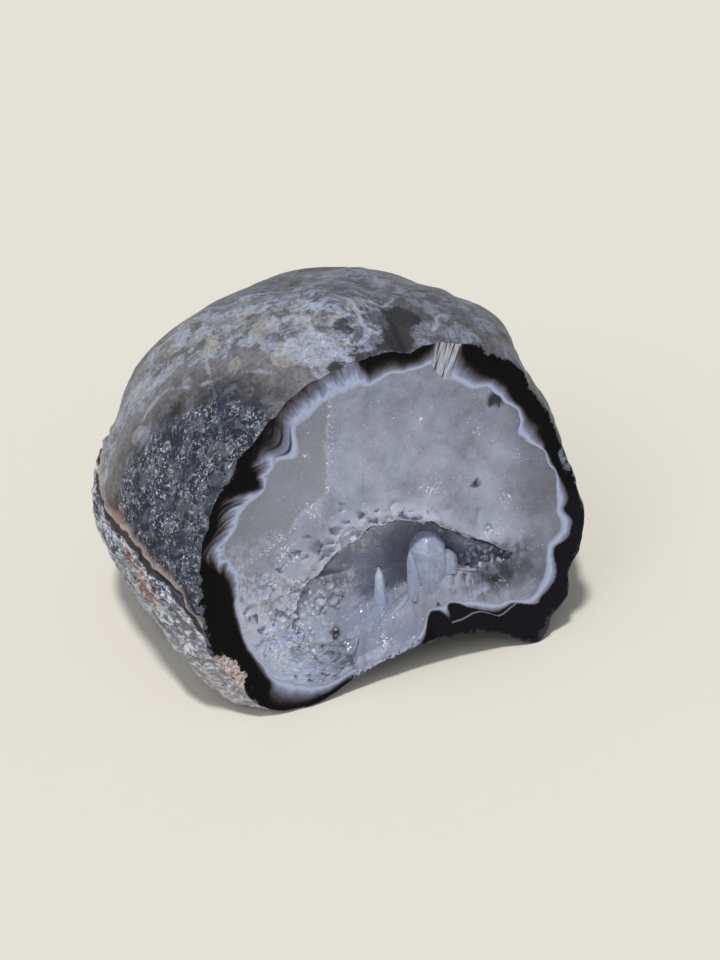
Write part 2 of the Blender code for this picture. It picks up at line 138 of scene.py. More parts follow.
def facets(places: Array, size: float, lean: float, seed: int) -> Array:
    """Broken crystal faces: over each irregular cell lies a flat facet with its own lean and height.

    Each square of a grid holds the middle of one cell, and a place belongs to the nearest middle. The
    facet's height is the way from the middle times its lean, plus a quarter of a random value.

    Args:
        places: Flat places, one row of two for each.
        size: Side of a grid square, and so the size of a facet.
        lean: Steepest rise over run of a facet.
        seed: Seed of the facets.

    Returns:
        Height of the facet at each place, in the unit of the size.
    """
    source = np.random.default_rng(seed)
    shuffle = source.permutation(256)
    table = source.uniform(-1.0, 1.0, (256, 6))
    place = places / size
    square = np.floor(place).astype(int)
    nearest = np.full(len(places), 9.0)
    height = np.zeros(len(places))
    for step in np.ndindex(3, 3):
        near = square + step - 1
        row = table[shuffle[(shuffle[near[:, 0] & 255] + near[:, 1]) & 255]]
        way = place - (near + 0.5 + 0.45 * row[:, :2])
        distance = np.linalg.norm(way, axis=1)
        facet = (way * row[:, 2:4]).sum(axis=1) + 0.25 * row[:, 4]
        height = np.where(distance < nearest, facet, height)
        nearest = np.minimum(nearest, distance)
    return size * lean * height


def unit(rows: Array) -> Array:
    """Each row divided by its length."""
    return rows / np.linalg.norm(rows, axis=-1)[..., None]


def read_table(at: Array, table: Table | Array) -> Array:
    """Value at each place, in straight stretches between a table's rows of place and value."""
    rows = np.array(table)
    return np.interp(at, rows[:, 0], rows[:, 1])


def angle_from(towards: Array, axis: Sequence[float]) -> Array:
    """Angle in degrees between unit directions and an axis: the arc cosine of their product."""
    middle = np.array(axis) / np.linalg.norm(axis)
    return np.degrees(np.arccos(np.clip(towards @ middle, -1.0, 1.0)))


def lumps_towards(towards: Array, rows: Table) -> Array:
    """Sum of round lumps over directions: each is its height times a bell of the angle from its middle.

    Args:
        towards: Unit directions, one row of three for each.
        rows: Direction of the middle in three numbers, spread in degrees and height of each lump.

    Returns:
        One value for each direction.
    """
    return sum(height * bell(angle_from(towards, axis), spread) for *axis, spread, height in rows)


def placed(found: dict[str, Array], first: int, total: int) -> dict[str, Array]:
    """Marks for all points of a piece, at nought outside the run of points that they were found for.

    Args:
        found: Values, or rows of three, of the points of the run, by name.
        first: Number of the run's first point.
        total: How many points the piece has.

    Returns:
        Marks by name.
    """
    filled = {}
    for name, values in found.items():
        filled[name] = np.zeros((total, *values.shape[1:]))
        filled[name][first : first + len(values)] = values
    return filled


def distance_to_path(places: Array, path: Table) -> Array:
    """Shortest distance from each place to a path of straight stretches.

    Args:
        places: Places in two or three dimensions.
        path: Corners of the path.

    Returns:
        One distance for each place.
    """
    corners = np.array(path)
    best = np.full(len(places), np.inf)
    for start, end in zip(corners[:-1], corners[1:]):
        along = np.clip((places - start) @ (end - start) / ((end - start) @ (end - start)), 0.0, 1.0)
        best = np.minimum(best, np.linalg.norm(places - start - along[:, None] * (end - start), axis=1))
    return best


@dataclass(frozen=True)
class SawnFace:
    """Frame of the sawn face, and how far the eye sees into it.

    Attributes:
        lean_deg: How far the face leans back.
        shift: Shift that puts the middle of the stone over the world's origin.
        sight: Where a point at depth w appears on the face, it lies this many times w further on.
    """

    lean_deg: float = 12.0
    shift: Triple = (0.415, -26.947, 0.0)
    sight: tuple[float, float] = (0.415, -0.415)

    def height(self, points: Array) -> Array:
        """Height of points above the ground: v times the cosine of the lean less w times its sine."""
        lean = math.radians(self.lean_deg)
        return points[..., 1] * math.cos(lean) - points[..., 2] * math.sin(lean)

    def back(self, points: Array) -> Array:
        """How far back points lie: v times the sine of the lean plus w times its cosine."""
        lean = math.radians(self.lean_deg)
        return points[..., 1] * math.sin(lean) + points[..., 2] * math.cos(lean)

    def world(self, points: Array) -> Array:
        """World coordinates in metres of points of the face frame."""
        placed = np.stack([points[..., 0], self.back(points), self.height(points)], axis=-1)
        return (placed + np.array(self.shift)) * MM

    def seen_point(self, seen: Array, depth: Array) -> Array:
        """Point at a depth that appears at a place on the face: the place plus sight times the depth."""
        across = seen + depth[..., None] * np.array(self.sight)
        return np.concatenate([across, depth[..., None]], axis=-1)


FACE = SawnFace()


@dataclass(frozen=True)
class Rim:
    """Sawn rim around the quartz, by angle about its centre.

    Attributes:
        centre: Centre of the angles on the face.
        readings: Angle in degrees, radius of the outer edge, radius where the black ends and the pale
            band starts, radius where the quartz starts. Where the black radius is beyond the outer
            edge there is no black, and the band starts paler.
        spread_deg: Half width of the window that rounds the corners between readings.
        chip_height: Height of the small chips along the outer edge.
    """

    centre: tuple[float, float] = (0.0, 20.0)
    spread_deg: float = 1.0
    chip_height: float = 0.2
    readings: Table = (
        (0, 25.4, 24.1, 22.5), (5, 25.2, 23.0, 22.7), (10, 24.6, 22.6, 22.0), (15, 24.3, 22.3, 22.0),
        (18, 24.3, 22.5, 21.2), (20, 24.35, 22.3, 20.6), (25, 24.55, 22.6, 19.8), (27, 24.6, 22.4, 19.4),
        (30, 24.4, 22.1, 20.9), (35, 24.4, 22.0, 21.4), (40, 25.2, 22.2, 20.8), (45, 25.45, 22.6, 21.0),
        (50, 25.35, 22.3, 21.0), (52, 25.0, 22.2, 20.1), (55, 24.5, 22.2, 19.6), (60, 25.3, 22.8, 20.0),
        (63, 24.6, 23.9, 19.8), (65, 24.4, 26.5, 19.6), (68, 24.3, 27.0, 20.3), (70, 24.2, 26.5, 20.6),
        (72, 24.0, 24.9, 21.2), (74, 23.8, 23.2, 21.0), (78, 23.35, 22.2, 20.4), (80, 22.7, 22.0, 20.35),
        (82, 22.6, 22.0, 20.3), (85, 23.2, 22.5, 20.25), (88, 23.3, 22.4, 20.1), (92, 23.2, 22.1, 19.6),
        (95, 23.1, 21.4, 19.4), (97, 23.0, 24.4, 19.4), (99, 23.0, 26.5, 19.9), (101, 23.0, 25.0, 19.4),
        (103, 23.1, 26.8, 20.0), (105, 23.1, 25.4, 19.6), (107, 23.2, 27.0, 20.1), (109, 23.2, 25.8, 19.8),
        (112, 23.3, 25.0, 20.2), (115, 23.4, 24.6, 20.3), (118, 23.4, 24.8, 19.8), (120, 23.4, 24.6, 19.7),
        (126, 23.4, 24.4, 20.1), (128, 23.3, 23.7, 19.0), (130, 23.3, 23.2, 18.0), (132, 23.3, 23.3, 17.3),
        (134, 23.3, 23.0, 17.2), (136, 23.4, 22.8, 18.0), (138, 23.5, 22.8, 19.0), (140, 23.7, 22.8, 19.4),
        (145, 24.25, 22.0, 19.4), (148, 24.1, 20.3, 19.2), (150, 24.0, 20.2, 18.95), (152, 24.4, 21.5, 19.1),
        (155, 24.7, 23.9, 20.0), (158, 24.8, 24.2, 20.7), (160, 24.9, 24.2, 21.0), (165, 25.1, 23.8, 21.3),
        (168, 25.4, 24.3, 22.0), (170, 25.55, 25.2, 22.5), (173, 25.6, 25.6, 22.4), (177, 25.85, 24.2, 21.5),
        (180, 26.0, 22.8, 20.9), (185, 26.4, 22.4, 21.3), (190, 26.55, 22.5, 21.9), (195, 27.3, 22.8, 22.2),
        (200, 27.4, 23.2, 22.6), (205, 27.2, 23.5, 22.9), (210, 27.1, 23.4, 22.9), (215, 27.1, 23.8, 23.1),
        (220, 27.2, 24.2, 23.4), (222, 27.1, 26.0, 23.0), (225, 26.7, 26.2, 22.5), (230, 25.7, 25.0, 22.0),
        (235, 24.45, 23.8, 21.5), (240, 22.4, 21.6, 20.3), (245, 20.2, 19.6, 18.4), (250, 18.7, 20.2, 17.7),
        (255, 17.6, 19.2, 16.8), (260, 16.9, 18.5, 16.1), (265, 16.45, 18.0, 15.6), (270, 16.1, 17.6, 15.3),
        (275, 16.0, 16.8, 15.1), (280, 16.2, 15.3, 14.0), (285, 16.45, 13.0, 12.2), (288, 16.8, 12.4, 11.8),
        (293, 17.4, 13.1, 12.4), (295.4, 17.8, 15.6, 12.6), (297.4, 18.2, 13.2, 12.7),
        (300, 18.9, 13.1, 12.6), (303, 20.0, 13.9, 13.3),
        (305, 20.9, 15.5, 14.0), (308, 22.4, 17.0, 14.7), (310, 25.2, 18.2, 15.5), (312, 27.0, 19.5, 16.8),
        (315, 27.45, 20.0, 18.7), (318, 27.4, 20.3, 19.3), (320, 26.7, 21.9, 20.8), (321.5, 26.7, 24.0, 22.0),
        (325, 27.2, 23.8, 22.6), (327, 27.35, 24.3, 22.7), (330, 27.0, 24.7, 22.8), (333, 26.4, 24.6, 22.6),
        (335, 26.1, 24.0, 22.3), (338, 26.3, 23.1, 22.05), (341, 26.6, 22.9, 21.8), (344, 26.8, 24.9, 22.6),
        (347, 26.65, 25.0, 23.4), (350, 26.5, 25.0, 22.9), (353, 26.35, 23.4, 22.3), (356, 25.9, 24.4, 22.6),
    )

    def radii(self, angle_deg: Array) -> Array:
        """Radii at each angle: the readings in straight stretches, averaged over a small window.

        Args:
            angle_deg: Angles in degrees.

        Returns:
            One row of outer edge, end of the black and start of the quartz for each angle.
        """
        table = np.array(self.readings, dtype=float)
        window = (-self.spread_deg, -0.5 * self.spread_deg, 0.0, 0.5 * self.spread_deg, self.spread_deg)
        columns = []
        for column in (1, 2, 3):
            parts = [np.interp(angle_deg + off, table[:, 0], table[:, column], period=360.0) for off in window]
            columns.append(np.mean(parts, axis=0))
        around = self.around(angle_deg)
        columns[0] = columns[0] + self.chip_height * layered_noise(around * 24.0, 1.6, 2, 31)
        columns[1] = columns[1] + 0.18 * lattice_noise(around * 24.0, 1.1, 37)
        columns[2] = columns[2] + 0.16 * layered_noise(around * 21.0, 1.3, 2, 41)
        columns[2] = np.minimum(columns[2], columns[0] - 0.5)
        return np.stack(columns, axis=1)

    def around(self, angle_deg: Array) -> Array:
        """Unit circle at each angle as three coordinates, so that noise on it closes on itself."""
        angle = np.radians(angle_deg)
        return np.stack([np.cos(angle), np.sin(angle), 0.0 * angle], axis=1)

    def points(self, angle_deg: Array, radii: Array) -> Array:
        """Points on the face: the centre plus each radius along its angle, at depth nought."""
        return self.around(angle_deg) * radii[:, None] + np.array([*self.centre, 0.0])


@dataclass(frozen=True)
class Nodule:
    """Weathered outside of the stone, a rounded lump that spreads out from the rim.

    Attributes:
        centre: Centre of the lump.
        left, right, up, back: Half sizes of the lump.
        rim_blend: Part of the way back over which the rim's own outline fades.
        lump_blend: Part of the way back over which lumps grow in.
        lumps: Direction, spread in degrees and height of each lump or dent.
        skin_height: Height of the outer skin that is left at the lower left.
        skin_step: Half width of the step at its broken edge, in parts of a direction.
        skin_edge: Depth part of the direction against its height part along the skin's broken edge.
        skin_end: Part across of the direction at which the skin ends to the right.
        skin_fade: Width over which it fades out there.
        relief_seed, relief_waves, relief_height: Seed, number and height of the low waves.
        relief_turns: Fewest and most radians of a wave to the unit of direction.
        arch: Place across and height of the arch under the face.
        scoop: How far back the arch fades out.
        floor_rounding: Size of the rounding at the base.
        settling: How often points are drawn in to the base, which moves as they move.
    """

    centre: Triple = (0.6, 20.6, 18.5)
    left: float = 31.0
    right: float = 29.6
    up: float = 27.3
    back: float = 32.0
    rim_blend: float = 0.4
    lump_blend: float = 0.12
    lumps: Table = (
        (0.62, 0.78, -0.09, 16.0, -0.7), (0.73, 0.65, -0.22, 16.0, 1.7), (0.83, 0.47, -0.29, 16.0, -1.6),
        (0.88, 0.1, -0.46, 16.0, -1.8), (0.21, 0.94, 0.28, 16.0, 0.7), (-0.86, 0.3, 0.42, 16.0, -0.5),
        (-0.93, 0.1, 0.35, 16.0, 0.0), (-0.95, -0.32, -0.04, 16.0, -0.6), (-0.85, -0.5, -0.2, 16.0, -2.2),
        (0.2, 0.98, 0.05, 6.0, 0.7), (-0.79, -0.45, -0.42, 9.0, 0.9), (0.3, 0.3, 0.9, 20.0, -1.4),
        (-0.45, 0.35, 0.82, 14.0, 0.9), (0.75, -0.2, 0.63, 15.0, 0.9), (-0.88, -0.26, 0.38, 20.0, -0.8),
    )
    skin_height: float = 0.6
    skin_step: float = 0.02
    skin_edge: Table = (
        (-0.56, -0.16), (-0.49, -0.06), (-0.34, 0.01), (-0.2, 0.09), (-0.04, 0.13), (0.21, 0.18),
        (0.38, 0.29), (0.7, 0.22), (1.0, 0.3),
    )
    skin_end: float = -0.05
    skin_fade: float = 0.3
    relief_seed: int = 7
    relief_waves: int = 9
    relief_height: float = 0.22
    relief_turns: tuple[float, float] = (5.0, 13.0)
    arch: Table = (
        (-22.0, 0.0), (-13.0, 0.0), (-11.0, 0.7), (-9.0, 1.5), (-7.0, 2.2), (-4.5, 3.0), (-1.9, 3.75),
        (1.1, 4.4), (3.3, 4.3), (6.7, 3.95), (10.2, 3.45), (13.7, 2.35), (15.5, 1.4), (16.5, 0.0), (30.0, 0.0),
    )
    scoop: float = 30.0
    floor_rounding: float = 1.2
    settling: int = 12

    def plain_radius(self, towards: Array) -> Array:
        """Radius of the plain lump: one over the length of the direction divided by the half sizes."""
        side = np.where(towards[:, 0] > 0.0, self.right, self.left)
        parts = np.stack([towards[:, 0] / side, towards[:, 1] / self.up, towards[:, 2] / self.back])
        return 1.0 / np.sqrt((parts**2).sum(axis=0))

    def waves(self, towards: Array) -> Array:
        """Low waves over the outside: sines of the direction along a few random axes."""
        source = np.random.default_rng(self.relief_seed)
        total = np.zeros(len(towards))
        for _ in range(self.relief_waves):
            axis = source.normal(size=3)
            turns = source.uniform(*self.relief_turns)
            phase = source.uniform(0.0, 2.0 * math.pi)
            total += np.sin(towards @ (axis / np.linalg.norm(axis)) * turns + phase)
        return self.relief_height * total

    def above_skin_edge(self, towards: Array) -> Array:
        """How far each direction lies above the skin's edge, jagged by noise, below nought on the skin."""
        jagged = 0.035 * layered_noise(towards, 0.16, 3, 53)
        inside = towards[:, 1] - read_table(towards[:, 2], self.skin_edge) + jagged
        return np.maximum(inside, (towards[:, 0] - self.skin_end) * 0.5)

    def skin_cover(self, towards: Array) -> Array:
        """How much outer skin is left in each direction, from 0 to 1."""
        below = ease(0.5 - self.above_skin_edge(towards) / (2.0 * self.skin_step))
        ragged = 0.45 * layered_noise(towards, 0.3, 3, 59)
        return below * ease((self.skin_end - towards[:, 0]) / self.skin_fade + ragged)

    def grain(self, towards: Array) -> Array:
        """Small relief of the outside: coarse on the dark grain and the skin, faint on the worn bands."""
        dark = OutsideMarks().dark_grain(towards)
        skin = self.skin_cover(towards)
        points = towards * 28.0
        rough = 0.16 * layered_noise(points, 1.5, 3, 61) + 0.07 * lattice_noise(points, 0.5, 67)
        worn = 0.16 * layered_noise(points, 4.5, 3, 71)
        scales = np.abs(layered_noise(points * (1.0, 1.7, 1.0), 2.1, 3, 73))
        crack = bell(self.above_skin_edge(towards) + 0.035, 0.02) * skin
        return worn + rough * (0.25 + 0.9 * dark + 0.7 * skin) + 0.35 * skin * (0.5 - scales) - 0.45 * crack

    def arch_height(self, points: Array) -> Array:
        """Height of the broken base: the arch under the face, which fades out towards the back."""
        height = read_table(points[:, 0], self.arch) * math.cos(math.radians(FACE.lean_deg))
        return height * ease(1.0 - FACE.back(points) / self.scoop)

    def stand_on_floor(self, towards: Array, radius: Array) -> Array:
        """Draw points in along their directions to the broken base where they would pass it.

        Args:
            towards: Unit directions from the centre.
            radius: Radius without the base.

        Returns:
            Points of the outside, rounded over near the base.
        """
        lean = math.radians(FACE.lean_deg)
        fall = np.maximum(-FACE.height(towards), 0.05)
        free = np.array(self.centre) + radius[:, None] * towards
        free_height = FACE.height(free)
        points = free
        for _ in range(self.settling):
            base = self.arch_height(points)
            near = np.clip(self.floor_rounding - np.abs(free_height - base), 0.0, None)
            target = np.maximum(free_height, base) + near**2 / (4.0 * self.floor_rounding)
            drawn_in = np.where(target > free_height, radius + (free_height - target) / fall, radius)
            points = np.array(self.centre) + drawn_in[:, None] * towards
        lift = np.where(target > free_height, target - FACE.height(points), 0.0)
        return points + lift[:, None] * np.array([0.0, math.cos(lean), -math.sin(lean)])

    def ring_towards(self, rim_points: Array, part: float) -> Array:
        """Directions of a ring: turned evenly from the rim's directions to straight back.

        Args:
            rim_points: Points of the rim's outer edge.
            part: Part of the way from the rim to the back, from 0 to 1.

        Returns:
            Unit directions from the centre.
        """
        rim = rim_points - np.array(self.centre)
        start = unit(rim)
        angle = np.arccos(np.clip(start[:, 2], -1.0, 1.0))
        far = np.array([0.0, 0.0, 1.0])
        mixed = np.sin((1.0 - part) * angle)[:, None] * start + np.sin(part * angle)[:, None] * far
        return mixed / np.sin(angle)[:, None]

    def ring(self, rim_points: Array, part: float) -> Array:
        """Ring of the outside: the lump's radius, corrected to meet the rim, plus relief.

        Args:
            rim_points: Points of the rim's outer edge.
            part: Part of the way from the rim to the back, from 0 to 1.

        Returns:
            Points of the ring.
        """
        rim = rim_points - np.array(self.centre)
        rim_radius = np.linalg.norm(rim, axis=1)
        towards = self.ring_towards(rim_points, part)
        gap = rim_radius - self.plain_radius(rim / rim_radius[:, None])
        radius = self.plain_radius(towards) + gap * (1.0 - ease(np.array(part / self.rim_blend)))
        surface = lumps_towards(towards, self.lumps) + self.waves(towards) + self.skin_height * self.skin_cover(towards)
        radius = radius + surface * ease(np.array(part / self.lump_blend))
        radius = radius + self.grain(towards) * ease(np.array(part / 0.03))
        return self.stand_on_floor(towards, radius)


@dataclass(frozen=True)
class OutsideMarks:
    """Where the colours of the outside lie, by direction from the stone's centre.

    Attributes:
        dark_pole: Middle of the dark grainy cap that the pale rings run around.
        dark_reach_deg: Angle from the pole at which the dark grain ends.
        pale_lines: Paths of the thin pale lines on the top.
        dark_patches: Direction, spread in degrees and strength of the dark brown patches.
        pale_patches, cream_patches: The same for pale and for cream patches.
        rust: The same for rust stains on the skin.
        sunny_side: Middle of the half of the outside that faces the light; the other half gets painted shade.
    """

    dark_pole: Triple = (-0.82, 0.26, -0.5)
    dark_reach_deg: float = 25.0
    pale_lines: tuple[Table, ...] = (
        ((0.0, 0.98, -0.18), (0.044, 0.973, -0.228), (0.072, 0.948, -0.31), (0.082, 0.933, -0.35),
         (0.128, 0.912, -0.39), (0.227, 0.923, -0.31), (0.338, 0.914, -0.223), (0.396, 0.898, -0.192)),
        ((-0.214, 0.965, -0.151), (-0.081, 0.964, -0.252), (-0.014, 0.945, -0.327), (-0.017, 0.903, -0.43),
         (-0.014, 0.867, -0.498), (0.004, 0.835, -0.55)),
        ((0.251, 0.789, -0.561), (0.316, 0.808, -0.496), (0.407, 0.812, -0.419), (0.509, 0.787, -0.349)),
        ((-0.86, 0.51, 0.0), (-0.759, 0.647, -0.076), (-0.709, 0.673, -0.21), (-0.651, 0.699, -0.296),
         (-0.5, 0.753, -0.429), (-0.438, 0.748, -0.498)),
        ((-0.57, 0.816, -0.095), (-0.632, 0.756, -0.172), (-0.65, 0.702, -0.292)),
        ((-0.783, 0.563, -0.265), (-0.738, 0.598, -0.312)),
    )
    dark_patches: Table = (
        (0.042, 0.806, -0.591, 4.0, 1.0), (0.103, 0.797, -0.595, 3.5, 0.9), (-0.091, 0.78, -0.62, 4.0, 0.8),
        (-0.099, 0.878, -0.468, 2.6, 0.9), (-0.218, 0.757, -0.616, 2.6, 0.7), (0.125, 0.88, -0.458, 6.0, 0.55),
        (0.396, 0.881, -0.258, 5.0, 0.45), (-0.096, 0.971, -0.22, 3.0, 0.3), (-0.794, 0.574, -0.199, 3.5, 0.5),
        (-0.06, 0.99, 0.05, 7.0, 0.4), (0.19, 0.84, -0.51, 3.0, 0.6),
    )
    pale_patches: Table = (
        (0.001, 0.842, -0.539, 1.8, 0.9), (-0.203, 0.931, -0.303, 3.5, 0.6), (-0.236, 0.837, -0.495, 4.5, 0.8),
        (-0.219, 0.789, -0.574, 3.5, 0.8), (-0.315, 0.817, -0.483, 4.5, 0.9), (-0.428, 0.9, -0.08, 5.0, 0.4),
        (-0.713, 0.683, -0.158, 4.0, 0.7), (-0.894, 0.435, -0.108, 5.0, 0.8), (-0.333, 0.89, -0.312, 4.0, 0.5),
        (-0.93, 0.36, 0.2, 7.0, 0.5), (-0.8, 0.57, 0.2, 5.0, 0.5), (0.3, 0.8, -0.52, 5.0, 0.35),
        (0.05, 0.93, -0.36, 3.0, 0.4),
    )
    cream_patches: Table = (
        (-0.382, 0.886, -0.261, 4.5, 1.0), (-0.366, 0.801, -0.473, 4.5, 1.0), (-0.573, 0.812, -0.111, 4.5, 0.9),
        (-0.536, 0.769, -0.349, 5.0, 0.9), (-0.9, 0.42, -0.02, 4.0, 0.7), (-0.6, 0.64, 0.49, 7.0, 0.5),
    )
    rust: Table = (
        (-0.976, -0.02, -0.215, 2.6, 1.0), (-0.968, -0.07, -0.241, 2.4, 1.0), (-0.952, -0.13, -0.282, 3.5, 0.45),
        (-0.93, -0.18, -0.33, 4.0, 0.35), (-0.99, 0.13, -0.05, 2.4, 0.6), (-0.73, -0.6, -0.3, 5.0, 0.3),
    )
    sunny_side: Triple = (-0.359, 0.358, -0.863)

    def from_pole(self, towards: Array) -> Array:
        """Angle in degrees from the dark pole, which the pale rings follow, pushed about by noise."""
        return angle_from(towards, self.dark_pole) + 5.0 * layered_noise(towards, 0.55, 2, 83)

    def dark_grain(self, towards: Array) -> Array:
        """How much of the dark crystalline grain shows, from 0 to 1."""
        edge = self.dark_reach_deg - self.from_pole(towards) + 4.0 * layered_noise(towards, 0.14, 3, 89)
        return ease(edge / 5.0 + 0.5)

    def patches(self, towards: Array, rows: Table) -> Array:
        """Soft patches: their sum over directions, broken up by noise and held between 0 and 1."""
        return np.clip(lumps_towards(towards, rows) * (1.0 + 0.7 * layered_noise(towards, 0.12, 3, 97)), 0.0, 1.0)

    def lines(self, towards: Array) -> Array:
        """Thin pale lines: a narrow bell of the distance to each path, which noise bends."""
        bent = pushed_about(towards, 0.014, 0.08, 3, (101, 103, 107))
        total = np.zeros(len(towards))
        for number, path in enumerate(self.pale_lines):
            rough = np.array(path)
            steps = np.linspace(0.0, len(rough) - 1.0, 3 * len(rough))
            curve = np.stack([np.interp(steps, np.arange(len(rough)), column) for column in rough.T], axis=1)
            away = distance_to_path(bent, unit(curve))
            total = np.maximum(total, bell(away, 0.012))
            if number < 2:
                total = np.maximum(total, 0.55 * bell(away - 0.036, 0.007) + 0.45 * bell(away - 0.066, 0.006))
        return total * (0.8 + 0.5 * lattice_noise(towards, 0.1, 109))

    def shaded_side(self, towards: Array) -> Array:
        """How far a direction lies round on the half turned from the light, which gets painted shade, from 0 to 1."""
        facing = towards @ np.array(self.sunny_side) + 0.05 * layered_noise(towards, 0.3, 3, 151)
        return ease((0.27 - facing) / 0.2)


@dataclass(frozen=True)
class Hollow:
    """Hollow in the quartz, drawn as it is seen from the upper left.

    Attributes:
        middle: Where the deepest point is seen on the face.
        depth: Depth of that point.
        edge: Outline as seen on the face, with how sheer the wall is there, from 0 to 1.
        sheer_wall: Depth of a sheer wall's foot.
        slope_start: Depth at which a slope starts.
        recess_depth: How far the unsawn quartz at the lower left lies behind the face.
        recess_top, recess_right, recess_fade: Where that unsawn quartz ends.
        shelf: Part of the way from the rim to the outline over which the quartz falls to the recess.
    """

    middle: tuple[float, float] = (3.0, 15.6)
    depth: float = 8.5
    edge: Table = (
        (-12.0, 16.65, 0.6), (-10.65, 17.0, 1.0), (-8.9, 19.0, 1.0), (-6.2, 20.1, 1.0), (-3.15, 21.35, 1.0),
        (0.7, 21.5, 1.0), (4.35, 20.5, 1.0), (7.2, 18.4, 1.0), (11.1, 16.1, 0.8), (12.8, 15.1, 0.5),
        (15.8, 13.2, 0.2), (14.6, 11.8, 0.0), (11.5, 11.6, 0.0), (8.5, 12.4, 0.0), (6.2, 12.7, 0.0),
        (3.6, 12.5, 0.0), (1.2, 10.6, 0.0), (-0.8, 9.0, 0.0), (-4.0, 7.6, 0.0), (-9.0, 7.0, 0.0),
        (-13.0, 8.0, 0.0), (-15.0, 11.0, 0.1), (-14.0, 14.5, 0.3),
    )
    sheer_wall: float = 5.0
    slope_start: float = 0.5
    recess_depth: float = 0.9
    recess_top: float = 18.5
    recess_right: float = 1.5
    recess_fade: float = 5.0
    shelf: float = 0.36

    def edge_towards(self, places: Array) -> Array:
        """Where lines from the hollow's middle to the places cross its outline.

        Args:
            places: Flat places on the face.

        Returns:
            Place across, place up and sheerness of each crossing.
        """
        outline = np.array(self.edge)
        step = np.roll(outline, -1, axis=0) - outline
        gap = outline[:, :2] - np.array(self.middle)
        way = places[:, :2] - np.array(self.middle)
        turn = way[:, :1] * step[:, 1] - way[:, 1:2] * step[:, 0]
        turn = np.where(np.abs(turn) < 1e-9, 1e-9, turn)
        along_way = (gap[:, 0] * step[:, 1] - gap[:, 1] * step[:, 0]) / turn
        along_step = (gap[:, 0] * way[:, 1:2] - gap[:, 1] * way[:, :1]) / turn
        crossed = (along_way > 0.0) & (along_step >= 0.0) & (along_step < 1.0)
        which = np.argmax(crossed, axis=1)
        share = along_step[np.arange(len(places)), which]
        return outline[which] + share[:, None] * step[which]

    def depth_at(self, part: Array, sheer: Array) -> Array:
        """Depth at a part of the way from the outline to the middle: a slope mixed with a sheer wall."""
        slope = self.slope_start + (self.depth - self.slope_start) * np.clip(part, 0.0, 1.0) ** 1.25
        wall = self.sheer_wall + (self.depth - self.sheer_wall) * ease(part)
        return slope * (1.0 - sheer) + wall * sheer

    def recess(self, seen: Array) -> Array:
        """How far the unsawn quartz at the lower left lies behind the sawn face."""
        low = ease((self.recess_top - seen[:, 1]) / self.recess_fade)
        left = ease((self.recess_right - seen[:, 0]) / self.recess_fade)
        return self.recess_depth * low * left

    def part_in(self, seen: Array) -> tuple[Array, Array]:
        """Part of the way from the outline to the middle, below nought outside, and the crossing."""
        edge = self.edge_towards(seen)
        reach = np.linalg.norm(edge[:, :2] - np.array(self.middle), axis=1)
        return 1.0 - np.linalg.norm(seen - np.array(self.middle), axis=1) / reach, edge

    def base_depth(self, seen: Array) -> Array:
        """Depth of the quartz without its facets, at places seen on the face."""
        part, edge = self.part_in(seen)
        outside = self.recess(seen) + self.slope_start * (1.0 - edge[:, 2]) * 0.5
        inside = self.depth_at(part, edge[:, 2]) + self.recess(edge[:, :2]) * (1.0 - part)
        return np.where(part > 0.0, inside, outside)

    def rings_behind(self, start: Array, edge: Array, gap: float, first: float, last: float) -> list[Array]:
        """Rings that follow the quartz at a gap: down a shelf, along behind the face, and into the hollow.

        Args:
            start: Points where the quartz starts at the rim.
            edge: Crossings of the hollow's outline in line with them.
            gap: How far the rings lie behind the quartz.
            first: Part of the way from the rim to the outline of the first ring behind the face.
            last: Part of the way from the outline to the middle of the last ring.

        Returns:
            The rings, from the rim inwards.
        """
        behind = np.array([0.0, 0.0, gap])
        middle = np.array(self.middle)
        rings = [start + 0.5 * behind, start + behind]
        for part in (first, 1.0):
            seen = start[:, :2] * (1.0 - part) + edge[:, :2] * part
            rings.append(FACE.seen_point(seen, self.recess(seen) * min(part / self.shelf, 1.0)) + behind)
        outward = unit(edge[:, :2] - middle)
        for part in (0.05, 0.3, 0.6, last):
            seen = edge[:, :2] * (1.0 - part) + middle * part
            ring = FACE.seen_point(seen, self.depth_at(np.full(len(seen), part), edge[:, 2])) + behind
            ring[:, :2] += outward * gap * (1.0 - part)
            rings.append(ring)
        return rings


